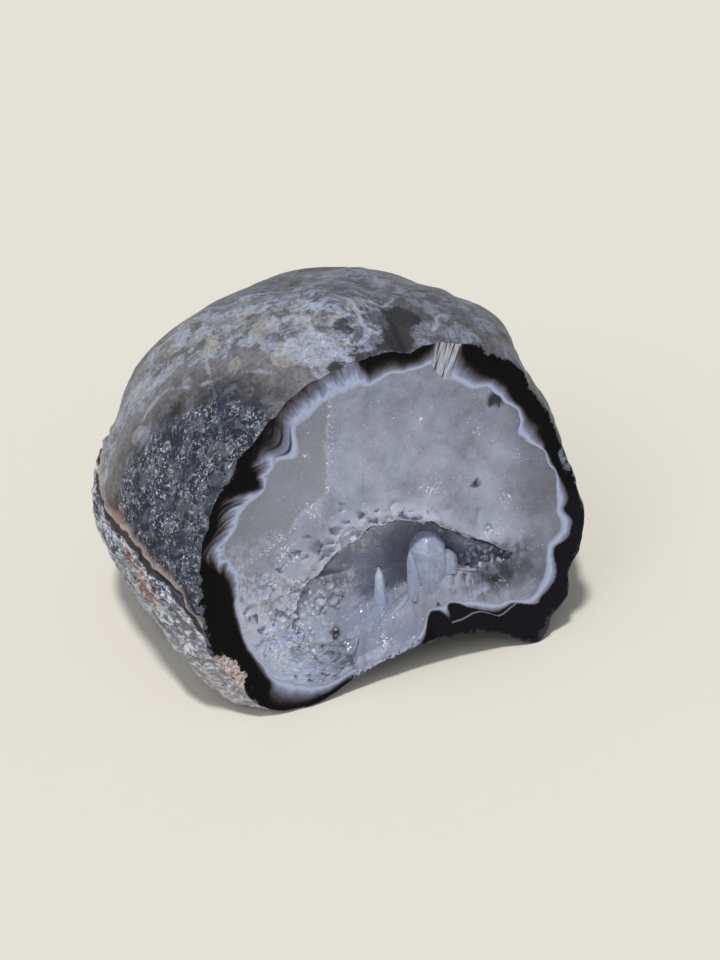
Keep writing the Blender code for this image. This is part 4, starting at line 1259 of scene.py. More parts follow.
@dataclass(frozen=True)
class MilkyQuartz:
    """Milky quartz of the lining.

    Attributes:
        cut: How its surface was made.
        milk: Colour of the milky quartz.
        veil: Colour of the darker sawn quartz at the upper left.
        clear_depth: How far light goes in, in millimetres.
    """

    cut: QuartzCut
    milk: Colour = (0.445, 0.472, 0.615)
    veil: Colour = (0.355, 0.368, 0.43)
    clear_depth: float = 1.2

    def build(self) -> bpy.types.Material:
        """Lay out the material."""
        bench = MaterialBench(f"{self.cut.value}_quartz")
        at = bench.place()
        cloud = bench.noise(at, 6.0, 4.0, 0.6, 0.5)
        wisps = bench.noise(at, 1.3, 5.0, 0.68)
        drift = bench.noise(at, 2.6, 3.0, 0.6, 1.0)
        grainy = bench.noise(at, 0.55, 4.0, 0.7)
        tone = cloud + 0.4 * (wisps - 0.5) + 0.22 * (drift - 0.5) + 0.3 * (grainy - 0.5)
        base = bench.ramp(tone, [(0.26, (0.3, 0.315, 0.405)), (0.5, self.milk), (0.74, (0.57, 0.61, 0.8))])
        patch = bench.flecks(at, 0.55, 0.6, 3.4, 4.0, 0.62, 0.4)
        base = bench.blend(patch * 0.2, base, (0.62, 0.66, 0.84))
        warm = bench.flecks(at, 0.52, 0.66, 7.0, 2.0)
        base = bench.blend(warm * 0.12, base, (0.42, 0.41, 0.46))
        veiled = bench.mark("veil")
        base = bench.blend(veiled * (0.45 + 0.5 * wisps), base, self.veil)
        # Painted highlight: a pale line along the veil's edge, where that small step catches the light.
        seam = veiled * (1.0 - veiled) * 4.0
        base = bench.blend(seam * bench.between(wisps, 0.42, 0.58) * 0.7, base, (0.62, 0.66, 0.79))
        drawn = bench.stretched(at, (1.0, 1.0, 0.55))
        fibre = bench.mark("fibre") * bench.flecks(drawn, 0.4, 0.58, 1.5, 5.0, 0.66)
        base = bench.blend(fibre * 0.8, base, (0.135, 0.14, 0.19))
        # pale: the pale broken quartz at the lip, and a painted highlight along the row of crystals in the hollow.
        base = bench.blend(bench.mark("pale") * 0.6, base, (0.6, 0.62, 0.72))
        # Painted shade in the pits above the lip, darker with their depth.
        pit_shade = bench.between(bench.mark("pit_shade") + (wisps - 0.5) * 0.8, 0.25, 0.62)
        base = bench.blend(pit_shade * 0.42, base, (0.24, 0.245, 0.285))
        base = bench.blend(bench.mark("blue") * 0.65, base, (0.46, 0.52, 0.7))
        base = bench.shade(1.0 + bench.mark("tone"), base)
        # Painted shade on the hollow's back wall under the lip.
        base = bench.blend(bench.mark("shade") * 0.8, base, (0.43, 0.45, 0.545))
        # Painted glints: tiny near-white specks in the colour, most of them at the listed glint places.
        painted_glint_places = bench.mark("painted_glint_places")
        painted_glint = bench.between(bench.noise(at, 0.3, 2.0, 0.7) + painted_glint_places * 0.15, 0.68, 0.72)
        base = bench.blend(painted_glint * 0.9, base, (0.9, 0.93, 1.0))
        dust = bench.flecks(at, 0.62, 0.7, 0.3, 3.0, 0.7) * bench.between(drift, 0.46, 0.6)
        base = bench.blend(dust * 0.3, base, (0.2, 0.2, 0.22))
        base = bench.blend(bench.mark("spot") * 0.93, base, (0.004, 0.004, 0.007))
        sparkle = bench.facet_tilt(at, 0.42)
        if self.cut is QuartzCut.SAWN:
            glint = bench.flecks(at, 0.56, 0.66, 1.1, 2.0)
            height = 0.35 * sparkle * glint + 0.5 * bench.noise(at, 0.35, 3.0)
            return bench.finish(
                Base_Color=base, Roughness=0.42 - 0.25 * glint, IOR=1.544, Subsurface_Weight=0.5,
                Subsurface_Radius=(1.0, 1.0, 1.15), Subsurface_Scale=0.7 * self.clear_depth * MM,
                Specular_IOR_Level=0.4, Normal=bench.bump(height, 0.16, 0.55),
            )
        height = sparkle + 0.5 * bench.facet_tilt(at, 1.1)
        return bench.finish(
            Base_Color=base, Roughness=0.17, IOR=1.544, Subsurface_Weight=0.5,
            Subsurface_Radius=(1.0, 1.0, 1.15), Subsurface_Scale=self.clear_depth * MM, Transmission_Weight=0.22,
            Specular_IOR_Level=0.5, Normal=bench.bump(height, 0.22, 0.7),
        )


@dataclass(frozen=True)
class ClearCrystal:
    """Clear to milky quartz crystal, smooth on its faces.

    Attributes:
        tint: Colour of the light that comes through.
        milkiness: Colour of the milky foot of a crystal.
        name: Name of the material.
        clarity: Part of the light that goes through.
    """

    tint: Colour = (0.74, 0.8, 0.95)
    milkiness: Colour = (0.58, 0.63, 0.8)
    name: str = "clear_crystal"
    clarity: float = 0.38

    def build(self) -> bpy.types.Material:
        """Lay out the material."""
        bench = MaterialBench(self.name)
        at = bench.place()
        veils = bench.flecks(at, 0.4, 0.64, 1.3, 4.0, 0.62, 0.5)
        # Paler towards the tip: clearer quartz, and a painted highlight that makes the points read bright.
        base = bench.blend(bench.mark("tip") * (0.25 + 0.75 * veils), self.milkiness, self.tint)
        base = bench.shade(0.55 + 0.9 * bench.noise(at, 1.0, 4.0, 0.65, 0.6), base)
        grown = bench.noise(bench.stretched(at, (1.0, 1.0, 0.4)), 0.35, 3.0)
        height = grown + 0.6 * bench.facet_tilt(at, 0.9)
        return bench.finish(
            Base_Color=base, Roughness=0.1 + 0.2 * veils, IOR=1.544, Transmission_Weight=self.clarity,
            Subsurface_Weight=0.4, Subsurface_Radius=(1.0, 1.0, 1.1), Subsurface_Scale=1.2 * MM,
            Normal=bench.bump(height, 0.12, 0.55),
        )


@dataclass(frozen=True)
class PaleBed:
    """Pale chalcedony bed under the quartz layer.

    Attributes:
        tone: Its colour.
    """

    tone: Colour = (0.42, 0.43, 0.48)

    def build(self) -> bpy.types.Material:
        """Lay out the material."""
        bench = MaterialBench("pale_bed")
        mottle = bench.noise(bench.place(), 2.0, 3.0)
        base = bench.shade(0.7 + 0.5 * mottle, (*self.tone, 1.0))
        return bench.finish(Base_Color=base, Roughness=0.6)


@dataclass
class Mesh:
    """Points and faces of one piece, with its attributes, before it becomes an object.

    Attributes:
        name: Name of the piece.
        points: Points in world metres.
        faces: Corners of each face, with the first corner repeated at the end of a triangle.
        finish: Number of the material of each face.
        marks: One value, or one row of three, for each point, by name.
    """

    name: str
    points: Array
    faces: Array
    finish: Array
    marks: dict[str, Array] = field(default_factory=dict)

    def to_object(self, materials: Sequence[bpy.types.Material], crease_deg: float | None) -> bpy.types.Object:
        """Make the object.

        Args:
            materials: Materials in the order of the faces' numbers.
            crease_deg: Angle over which an edge is sharp, or None for flat faces.

        Returns:
            The object, at the origin.
        """
        mesh = bpy.data.meshes.new(self.name)
        triangle = self.faces[:, 3] == self.faces[:, 0]
        sides = np.where(triangle, 3, 4)
        corners = self.faces[np.arange(4)[None, :] < sides[:, None]]
        mesh.vertices.add(len(self.points))
        mesh.vertices.foreach_set("co", self.points.astype(np.float32).ravel())
        mesh.loops.add(len(corners))
        mesh.loops.foreach_set("vertex_index", corners.astype(np.int32))
        mesh.polygons.add(len(self.faces))
        starts = np.concatenate([[0], np.cumsum(sides)[:-1]])
        mesh.polygons.foreach_set("loop_start", starts.astype(np.int32))
        mesh.update(calc_edges=True)
        mesh.validate()
        for material in materials:
            mesh.materials.append(material)
        mesh.polygons.foreach_set("material_index", self.finish.astype(np.int32))
        mesh.polygons.foreach_set("use_smooth", np.full(len(self.faces), crease_deg is not None))
        for name, values in self.marks.items():
            if values.ndim == 1:
                layer = mesh.attributes.new(name, "FLOAT", "POINT")
                layer.data.foreach_set("value", values.astype(np.float32))
            else:
                layer = mesh.attributes.new(name, "FLOAT_VECTOR", "POINT")
                layer.data.foreach_set("vector", values.astype(np.float32).ravel())
        if crease_deg is not None:
            mesh.set_sharp_from_angle(angle=math.radians(crease_deg))
        item = bpy.data.objects.new(self.name, mesh)
        bpy.context.scene.collection.objects.link(item)
        return item


def ringed_faces(rings: int, count: int) -> Array:
    """Faces of a closed shape of rings between two end points.

    The first point is one end, then come the rings, and the last point is the other end. Each step
    between neighbouring rings is a band of four-sided faces, and each end is a fan of triangles.

    Args:
        rings: How many rings there are.
        count: How many points a ring has.

    Returns:
        Corners of the faces: the first fan, the bands in order, the last fan.
    """
    step = np.arange(count)
    after = (step + 1) % count
    first = np.stack([0 * step, 1 + after, 1 + step, 0 * step], axis=1)
    near = 1 + np.arange(rings - 1)[:, None] * count
    bands = np.stack([near + step, near + after, near + count + after, near + count + step], axis=-1)
    last_ring = 1 + (rings - 1) * count
    end = 1 + rings * count + 0 * step
    last = np.stack([end, last_ring + step, last_ring + after, end], axis=1)
    return np.concatenate([first, bands.reshape(-1, 4), last])


@dataclass
class AgateStone:
    """The agate nodule: outside, sawn rim and the bed that the quartz lies on.

    Attributes:
        rim: Sawn rim.
        nodule: Weathered outside.
        hollow: Hollow of the quartz, which the bed follows.
        columns: Points around a ring.
        front_rings: Rings over the front half of the outside.
        back_rings: Rings over the back half.
        rim_rings: Rings across the sawn rim.
        bed_behind: How far the bed lies behind the face of the quartz.
        thin_seam: Angle and radius along the thin pale line in the black at the lower right.
        pale_bend: Angle and the power that bends the pale band's colours towards the quartz.
        pleat_strength: Angle and strength of the pleats across the pale band.
        crease_deg: Angle over which an edge is sharp.
    """

    rim: Rim = field(default_factory=Rim)
    nodule: Nodule = field(default_factory=Nodule)
    hollow: Hollow = field(default_factory=Hollow)
    columns: int = 576
    front_rings: int = 92
    back_rings: int = 32
    rim_rings: int = 36
    bed_behind: float = 1.7
    thin_seam: Table = (
        (295.5, 15.5), (300.0, 16.1), (305.0, 16.5), (308.0, 17.2), (310.0, 18.5), (311.0, 19.7),
        (313.0, 20.2), (316.0, 20.5), (319.0, 21.0),
    )
    pale_bend: Table = (
        (0, 0.75), (18, 1.0), (50, 1.0), (62, 1.1), (75, 1.7), (96, 1.7), (98, 1.0), (112, 1.2), (138, 1.3),
        (155, 1.2), (178, 1.0), (196, 1.3), (232, 1.2), (244, 0.7), (282, 0.7), (286, 0.8), (302, 0.6),
        (320, 0.36), (350, 0.38), (360, 0.75),
    )
    pleat_strength: Table = (
        (0, 0.1), (58, 0.12), (63, 0.3), (74, 0.1), (95, 0.06), (97, 0.75), (110, 0.6), (114, 0.45),
        (126, 0.4), (128, 0.05), (137, 0.05), (140, 0.7), (152, 0.6), (156, 0.95), (176, 0.95), (183, 0.25),
        (196, 0.08), (240, 0.12), (360, 0.1),
    )
    crease_deg: float = 50.0

    def build(self) -> bpy.types.Object:
        """Build the stone.

        Returns:
            The finished piece.
        """
        angle = np.arange(self.columns) * 360.0 / self.columns
        radii = self.rim.radii(angle)
        edge = self.rim.points(angle, radii[:, 0])
        start = self.rim.points(angle, radii[:, 2])
        front = np.linspace(0.5, 0.0, self.front_rings + 1)[1:-1]
        parts = np.concatenate([np.linspace(0.997, 0.5, self.back_rings), front])
        outside = [self.nodule.ring(edge, part) for part in parts]
        shares = np.linspace(0.0, 1.0, self.rim_rings)
        sawn = [self.rim.points(angle, radii[:, 0] * (1.0 - s) + radii[:, 2] * s) for s in shares]
        bed = self.hollow.rings_behind(start, self.hollow.edge_towards(start), self.bed_behind, 0.36, 0.85)
        rings = np.concatenate([np.array(outside), np.array(sawn), np.array(bed)])
        back = outside[0].mean(axis=0)
        deepest = FACE.seen_point(np.array(self.hollow.middle), np.array(self.hollow.depth + self.bed_behind))
        points = np.concatenate([back[None, :], rings.reshape(-1, 3), deepest[None, :]])
        faces = ringed_faces(len(rings), self.columns)
        finish = self.face_finish(len(outside), len(sawn), len(rings))
        marks = self.outside_marks(edge, parts, len(rings))
        marks.update(self.rim_marks(angle, radii, shares, len(outside), len(rings)))
        stone = Mesh("agate_stone", FACE.world(points), faces, finish, marks)
        return stone.to_object([WeatheredAgate().build(), SawnRind().build(), PaleBed().build()], self.crease_deg)

    def face_finish(self, outside: int, sawn: int, rings: int) -> Array:
        """Material number of each face: 0 outside, 1 on the sawn rim, 2 on the bed."""
        band = np.arange(-1, rings)
        number = np.where(band < outside, 0, np.where(band < outside + sawn - 1, 1, 2))
        return np.repeat(number, self.columns)

    def outside_marks(self, edge: Array, parts: Array, rings: int) -> dict[str, Array]:
        """Attributes of the outside, with the rim and the bed left at nought.

        Args:
            edge: Points of the rim's outer edge.
            parts: Part of the way back of each outside ring.
            rings: How many rings the whole stone has.

        Returns:
            Values for every point, by name.
        """
        towards = np.concatenate([self.nodule.ring_towards(edge, part) for part in [*parts, 0.0]])
        marks = OutsideMarks()
        above = self.nodule.above_skin_edge(towards)
        cover = self.nodule.skin_cover(towards)
        found = {
            "ring": marks.from_pole(towards),
            "grain": marks.dark_grain(towards) * (1.0 - cover),
            "skin": cover,
            "rust": marks.patches(towards, marks.rust),
            "pale": marks.patches(towards, marks.pale_patches) * 0.7,
            "cream": ease(marks.patches(towards, marks.cream_patches) * 2.2 - 0.8),
            "ledge": bell(above + 0.008, np.interp(towards[:, 1], [-0.4, -0.1, 0.05], [0.012, 0.018, 0.05])),
            "dark": marks.patches(towards, marks.dark_patches),
            "line": marks.lines(towards),
            "crack": bell(above + 0.042, 0.02)
            * ease((self.nodule.skin_end - towards[:, 0]) / self.nodule.skin_fade),
            # dull: painted shade on the half of the outside turned from the light.
            "dull": marks.shaded_side(towards) * (1.0 - 0.7 * cover),
        }
        with_pole = {name: np.append(values[0], values) for name, values in found.items()}
        return placed(with_pole, 0, 2 + rings * self.columns)

    def rim_marks(self, angle: Array, radii: Array, shares: Array, outside: int, rings: int) -> dict[str, Array]:
        """Attributes of the sawn rim.

        The band value is half the way from the outer edge to the end of the black, and past it a half
        plus half the way from there to the quartz.

        Args:
            angle: Angle of each column in degrees.
            radii: Outer edge, end of the black and start of the quartz of each column.
            shares: Part of the way across the rim of each rim ring.
            outside: How many rings lie before the rim.
            rings: How many rings the whole stone has.

        Returns:
            Values for every point, by name.
        """
        turned, share = np.meshgrid(angle, shares)
        outer, black, pale = (np.broadcast_to(radii[:, column], turned.shape) for column in range(3))
        radius = outer * (1.0 - share) + pale * share
        in_black = 0.5 * (outer - radius) / np.maximum(outer - black, 0.05)
        part = np.clip((black - radius) / np.maximum(black - pale, 0.05), 0.0, 1.0)
        in_pale = 0.5 + 0.5 * part ** read_table(turned, self.pale_bend)
        band = np.clip(np.where(radius > black, in_black, in_pale), 0.0, 1.0)
        by_seam = (turned > 294.5) & (turned < 319.5)
        seam_off = np.where(by_seam, radius - read_table(turned, self.thin_seam), 5.0)
        from_quartz = radius - pale
        around = self.rim.around((turned - 0.9 * from_quartz**2 * ease((turned - 135.0) / 8.0)).ravel())
        around[:, 2] = radius.ravel()
        wavy = from_quartz + 0.02 * (turned - 132.0) ** 2
        nested = bell(turned - 132.5, 5.5) * ease(np.cos(wavy * 2.0 * math.pi / 1.55) * 1.6 - 0.55)
        nested = nested * ease(from_quartz / 0.8) * 0.95
        streaks = ease((turned - 63.3) / 1.2) * ease((72.6 - turned) / 1.2)
        matrix = bell(np.hypot((turned - 208.5) * 0.46 / 3.6, (radius - 26.9) / 1.9), 1.0)
        slate = bell(np.hypot((turned - 9.0) * 0.43 / 2.2, (radius - 24.4) / 1.1), 1.0)
        lifted = ease((turned - 283.0) / 4.0) * ease((362.0 - turned) / 8.0)
        specks = ease((turned - 243.0) / 3.0) * ease((279.0 - turned) / 3.0)
        specks = specks * ease((radius - pale) / 0.8)
        found = {
            "band": band, "seam": seam_off, "nested": nested, "streaks": streaks, "matrix": matrix,
            "slate": slate, "specks": specks, "lifted": lifted,
            "pleats": read_table(turned, self.pleat_strength),
        }
        run = {name: values.ravel() for name, values in found.items()} | {"around": around}
        return placed(run, 1 + outside * self.columns, 2 + rings * self.columns)


@dataclass
class QuartzLining:
    """The quartz: sawn flat above, broken at the left, and open in the hollow.

    Attributes:
        rim: Sawn rim that it meets.
        hollow: Its hollow.
        columns: Points around a ring.
        face_rings: Rings from the rim to the hollow's outline.
        hollow_rings: Rings from the outline to the middle.
        thickness: Thickness of the layer.
        lip_noise: Height of the small bends in the hollow's outline.
        crease_deg: Angle over which an edge is sharp.
    """

    rim: Rim = field(default_factory=Rim)
    hollow: Hollow = field(default_factory=Hollow)
    columns: int = 600
    face_rings: int = 84
    hollow_rings: int = 62
    thickness: float = 1.4
    lip_noise: float = 0.28
    crease_deg: float = 38.0

    def build(self) -> bpy.types.Object:
        """Build the lining.

        Returns:
            The finished piece.
        """
        angle = np.arange(self.columns) * 360.0 / self.columns
        start = self.rim.points(angle, self.rim.radii(angle)[:, 2])
        edge = self.lip(start)
        zones = QuartzZones(self.hollow)
        middle = np.array(self.hollow.middle)
        seen_rings, depth_rings = [], []
        turned = range(-self.columns // 10, self.columns // 10, 8)
        gentle = np.minimum(np.mean([np.roll(edge[:, 2], shift) for shift in turned], axis=0), edge[:, 2])
        for part in np.linspace(0.985, 0.004, self.hollow_rings):
            seen = edge[:, :2] * (1.0 - part) + middle * part
            inner = ease(np.array(part / 0.35))
            depth = self.hollow.depth_at(np.full(len(seen), part), edge[:, 2] * (1.0 - inner) + gentle * inner)
            depth = depth + self.hollow.recess(edge[:, :2]) * (1.0 - part)
            seen_rings.append(seen)
            depth_rings.append(depth + zones.relief(seen) * ease(np.array((1.0 - part) / 0.3)))
        for part in np.linspace(1.0, 0.0, self.face_rings):
            seen = start[:, :2] * (1.0 - part) + edge[:, :2] * part
            plain = self.hollow.recess(seen) * min(part / self.hollow.shelf, 1.0)
            plain = plain + self.hollow.slope_start * (1.0 - edge[:, 2]) * part**3
            near_rim = ease(np.linalg.norm(seen - start[:, :2], axis=1) / 0.7)
            seen_rings.append(seen)
            depth_rings.append(np.maximum(plain + zones.relief(seen) * near_rim, 0.0))
        front_seen = np.array(seen_rings)
        front = FACE.seen_point(front_seen, np.array(depth_rings))
        back = self.hollow.rings_behind(start, edge, self.thickness, 0.4, 0.9)
        rings = np.concatenate([front, np.array(back)])
        deepest = FACE.seen_point(middle, np.array(self.hollow.depth))
        behind = deepest + (0.0, 0.0, self.thickness)
        points = np.concatenate([deepest[None, :], rings.reshape(-1, 3), behind[None, :]])
        faces = ringed_faces(len(rings), self.columns)
        flat = front_seen.reshape(-1, 2)
        broken = (zones.broken(flat) > 0.45).reshape(len(front), self.columns)
        number = np.where(broken, 1, 0)
        number[: self.hollow_rings] = 2
        unseen = np.zeros((len(back) + 1) * self.columns)
        finish = np.concatenate([np.full(self.columns, 2), number[:-1].ravel(), unseen])
        marks = self.marks(zones, flat, len(points))
        lining = Mesh("quartz_lining", FACE.world(points), faces, finish.astype(int), marks)
        return lining.to_object([MilkyQuartz(cut).build() for cut in QuartzCut], self.crease_deg)

    def lip(self, start: Array) -> Array:
        """Outline of the hollow in line with each column, with small bends."""
        edge = self.hollow.edge_towards(start)
        bends = self.lip_noise * layered_noise(edge[:, :2], 1.6, 3, 179)
        edge[:, :2] += unit(edge[:, :2] - np.array(self.hollow.middle)) * bends[:, None]
        return edge

    def marks(self, zones: QuartzZones, flat: Array, total: int) -> dict[str, Array]:
        """Attributes of the front, with the back left at nought.

        Args:
            zones: Zones of the quartz.
            flat: Seen place of each point of the front.
            total: How many points the piece has.

        Returns:
            Values for every point, by name.
        """
        part, _ = self.hollow.part_in(flat)
        at_lip = np.maximum(zones.bevel(flat), 0.45 * zones.chipped(flat))
        found = {
            "veil": zones.veil(flat) * (1.0 - zones.broken(flat)) * (part < 0.0) * ease((flat[:, 1] - 19.0) / 6.0),
            # Painted shade in the pits, by their depth.
            "pit_shade": zones.pit_depth(flat) * (part < 0.0),
            "spot": zones.spots(flat),
            # pale: the pale bevel and chips at the lip, and the painted highlight along the row of crystals.
            "pale": at_lip * (part < 0.0) + zones.painted_row_highlight(flat) * (part > 0.0),
            "blue": ease((13.0 - flat[:, 1]) / 3.0) * ease((4.0 - flat[:, 0]) / 3.0) * ease((flat[:, 0] + 21.0) / 4.0),
            # shade: painted shade on the hollow's back wall under the lip.
            "shade": ease(part / 0.02) * zones.wall_shade(flat),
            # Places of the painted glints.
            "painted_glint_places": zones.painted_glint_places(flat),
            # Inside the hollow the tone is raised by 0.15: painted light against the hollow's shade.
            "tone": zones.tone(flat) * np.where(part > 0.0, 1.15, 1.0) - 1.0,
            "fibre": zones.columns(flat) * ease((flat[:, 1] - 9.0) / 1.5),
        }
        return placed(found, 1, total)


@dataclass(frozen=True)
class CrystalBed:
    """One kind of crystal that grows over a zone of the quartz.

    Attributes:
        spacing: Distance between neighbours.
        radius: Smallest and largest radius.
        length: Smallest and largest length.
        rise: How far the crystals lean up the face.
        tilt: How far they lean at random.
        area: Lowest and highest place across, lowest and highest place up.
        seed: Seed of their places and sizes.
    """

    spacing: float
    radius: tuple[float, float]
    length: tuple[float, float]
    rise: float
    tilt: float
    area: tuple[float, float, float, float]
    seed: int


@dataclass
class Druse:
    """All the crystals that stand on the quartz.

    Attributes:
        hollow: Hollow that they grow in.
        large: For each large crystal where its foot and its tip are seen, the tip's depth, the radius, and
            how blunt its end is, from 0 to 1.
        medium, small, needles: The kinds that fill in between.
        seed, large_seed: Seeds of the turns of the small and of the large crystals.
        outline: Points around a large crystal.
        levels: Parts of the length at which a large crystal has a ring.
        taper: Width of a crystal at its shoulder, as a part of its width at the foot.
        shoulder: Where the pointed end starts, as a part of the length.
        clearance: Least depth of any point behind the sawn face.
        crease_deg: Angle over which an edge of a large crystal is sharp.
    """

    hollow: Hollow = field(default_factory=Hollow)
    large: tuple[tuple[tuple[float, float], tuple[float, float], float, float, float], ...] = (
        ((-2.6, 10.9), (-2.8, 15.9), 2.0, 0.85, 0.0), ((4.5, 10.4), (4.2, 18.9), 2.0, 2.9, 0.7),
        ((2.1, 10.0), (1.9, 17.4), 2.3, 1.05, 0.4), ((7.0, 12.0), (6.6, 16.0), 2.6, 1.6, 0.6),
    )
    medium: CrystalBed = CrystalBed(2.2, (0.5, 0.85), (0.8, 1.5), 0.45, 0.35, (-19.0, 16.0, 6.5, 20.5), 191)
    small: CrystalBed = CrystalBed(1.0, (0.18, 0.42), (0.4, 1.0), 0.35, 0.6, (-20.5, 16.5, 4.5, 20.5), 193)
    needles: CrystalBed = CrystalBed(0.62, (0.1, 0.17), (0.7, 1.6), 0.9, 0.45, (-19.0, 18.0, 4.5, 15.0), 197)
    seed: int = 181
    large_seed: int = 183
    outline: int = 36
    levels: tuple[float, ...] = (0.0, 0.2, 0.4, 0.55, 0.66, 0.76, 0.84, 0.9, 0.945, 0.975, 1.0)
    taper: float = 0.84
    shoulder: float = 0.62
    clearance: float = 0.05
    crease_deg: float = 24.0

    def build(self) -> bpy.types.Object:
        """Build all crystals as one piece.

        Returns:
            The finished piece.
        """
        source = np.random.default_rng(self.seed)
        rows = [self.bed_rows(bed) for bed in (self.medium, self.small, self.needles)]
        base, tip, radius = (np.concatenate(part) for part in zip(*rows))
        turn = source.uniform(0.0, math.tau, len(base))
        points = self.corners(base, tip, radius, turn, source)
        faces = self.faces(len(base))
        tips = np.tile(np.concatenate([[0.0], np.full(6, 0.15), np.full(6, 0.8), [1.0]]), len(base))
        crystals = Mesh("quartz_crystals", FACE.world(points), faces, np.zeros(len(faces), int), {"tip": tips})
        log.info("%d crystals", len(base))
        return crystals.to_object([ClearCrystal().build()], None)

    def build_large(self) -> bpy.types.Object:
        """Build the large crystals: rings of a rounded six-sided outline that narrow to a blunt end.

        Returns:
            The finished piece.
        """
        source = np.random.default_rng(self.large_seed)
        base, tip, radius = self.large_rows()
        turn = source.uniform(0.0, math.tau, len(base))
        turn[:2] = (0.5, 0.2)
        around = np.arange(self.outline) * math.tau / self.outline
        sector = (around + math.pi / 6.0) % (math.pi / 3.0) - math.pi / 6.0
        hexagon = (np.cos(sector) ** -6 * 0.5 + 0.5) ** (1.0 / 6.0) * math.cos(math.pi / 6.0) ** 0.5
        level = np.array(self.levels)
        points, faces, finish = [], [], []
        for number, (foot, top, wide) in enumerate(zip(base, tip, radius)):
            blunt = self.large[number][4]
            sharp_width = (1.0 - 0.5 * level) * np.minimum(1.0, (1.02 - level) / 0.24) ** 0.9
            round_width = np.interp(level, [0.0, 0.3, 0.74, 0.96, 1.0], [0.8, 0.93, 0.94, 0.45, 0.02])
            width = sharp_width * (1.0 - blunt) + round_width * blunt
            length = np.linalg.norm(top - foot)
            axis = (top - foot) / length
            side = np.cross(axis, np.array([0.3, 0.2, 1.0]))
            side = side / np.linalg.norm(side)
            other = np.cross(axis, side)
            angle = around + turn[number]
            ring = hexagon[:, None] * (np.cos(angle)[:, None] * side + np.sin(angle)[:, None] * other)
            lean = 0.3 * wide * blunt * np.cos(angle + 1.7 * number)
            slanted = (level**3)[:, None] * lean * width[:, None]
            rings = foot + (level[:, None, None] * length) * axis + width[:, None, None] * wide * ring
            rings = rings + slanted[..., None] * axis
            root, end = foot + (0.0, 0.0, 0.4), rings[-1].mean(axis=0)
            shape = np.concatenate([root[None, :], rings.reshape(-1, 3), end[None, :]])
            shape[:, 2] = np.maximum(shape[:, 2], self.clearance)
            faces.append(ringed_faces(len(level), self.outline)[:, ::-1] + len(points) * len(shape))
            points.append(shape)
            finish.append(np.full(len(faces[-1]), 1 if number == 0 else 0))
        height = np.concatenate([[0.0], np.repeat(level, self.outline), [1.0]])
        marks = {"tip": np.tile(height, len(points))}
        corners = np.concatenate(faces)
        corners = np.where((corners[:, 3] == corners[:, 0])[:, None], corners[:, [0, 1, 2, 0]], corners)
        large = Mesh("large_crystals", FACE.world(np.concatenate(points)), corners, np.concatenate(finish), marks)
        cloudy = ClearCrystal((0.6, 0.68, 0.88), (0.4, 0.45, 0.62), "cloudy_crystal", 0.34)
        frosted = ClearCrystal((0.66, 0.78, 1.0), (0.56, 0.67, 0.95), "frosted_crystal", 0.08)
        return large.to_object([cloudy.build(), frosted.build()], self.crease_deg)

    def surface(self, seen: Array) -> Array:
        """Points of the quartz, facets included, at places seen on the face."""
        zones = QuartzZones(self.hollow)
        return FACE.seen_point(seen, np.maximum(self.hollow.base_depth(seen) + zones.relief(seen), 0.0))

    def large_rows(self) -> tuple[Array, Array, Array]:
        """Foot, tip and radius of each large crystal."""
        feet = np.array([row[0] for row in self.large])
        tips = np.array([row[1] for row in self.large])
        depths, radii = np.array([row[2:4] for row in self.large]).T
        sunk = self.surface(feet) + np.outer(0.8 * radii, (0.0, 0.0, 1.0))
        return sunk, FACE.seen_point(tips, depths), radii

    def bed_rows(self, bed: CrystalBed) -> tuple[Array, Array, Array]:
        """Foot, tip and radius of the crystals of one kind.

        They stand on a square lattice whose places are moved at random. Each leans along the
        surface's outward direction plus some rise and a random tilt.

        Args:
            bed: The kind.

        Returns:
            Feet, tips and radii.
        """
        source = np.random.default_rng(bed.seed)
        across = np.arange(bed.area[0], bed.area[1], bed.spacing)
        up = np.arange(bed.area[2], bed.area[3], bed.spacing)
        seen = np.stack(np.meshgrid(across, up), axis=-1).reshape(-1, 2)
        seen = seen + bed.spacing * source.uniform(-0.45, 0.45, seen.shape)
        radius = source.uniform(*bed.radius, len(seen))
        length = source.uniform(*bed.length, len(seen))
        tilt = bed.tilt * source.normal(size=(len(seen), 3))
        keep = self.grows_at(seen, bed)
        seen, radius, length, tilt = seen[keep], radius[keep], length[keep], tilt[keep]
        base = self.plain(seen)
        outward = unit(np.cross(self.plain(seen + (0.0, 0.5)) - base, self.plain(seen + (0.5, 0.0)) - base))
        axis = unit(outward + tilt + np.array([0.0, bed.rise, 0.0]))
        feet = self.surface(seen) + 0.35 * radius[:, None] * np.array([0.0, 0.0, 1.0])
        return feet, feet + length[:, None] * axis, radius

    def plain(self, seen: Array) -> Array:
        """Points of the quartz without its facets."""
        return FACE.seen_point(seen, self.hollow.base_depth(seen))

    def grows_at(self, seen: Array, bed: CrystalBed) -> Array:
        """Whether a kind of crystal grows at each place."""
        part, edge = self.hollow.part_in(seen)
        zones = QuartzZones(self.hollow)
        from_rim = np.linalg.norm(seen - (0.0, 20.0), axis=1)
        rocky = (zones.broken(seen) > 0.5) & (from_rim < 19.3) & (seen[:, 0] < -9.0)
        rocky = rocky & ((seen[:, 0] < -12.5) | (seen[:, 1] > 13.0))
        deep = (part > 0.03) & (self.hollow.base_depth(seen) > 0.8) & (zones.tall(seen) < 0.3)
        if bed is self.needles:
            return (seen[:, 0] < -13.5) & (seen[:, 1] < 10.5) & (from_rim < 19.6)
        under_lip = (edge[:, 2] > 0.55) & (part < 0.8) & (seen[:, 1] > 14.2)
        if bed is self.medium:
            return (deep & ~under_lip & (seen[:, 0] < -9.0)) | (rocky & (seen[:, 0] < -15.5))
        return (deep & ~under_lip & ((seen[:, 0] < -8.0) | (seen[:, 0] > 7.5))) | rocky

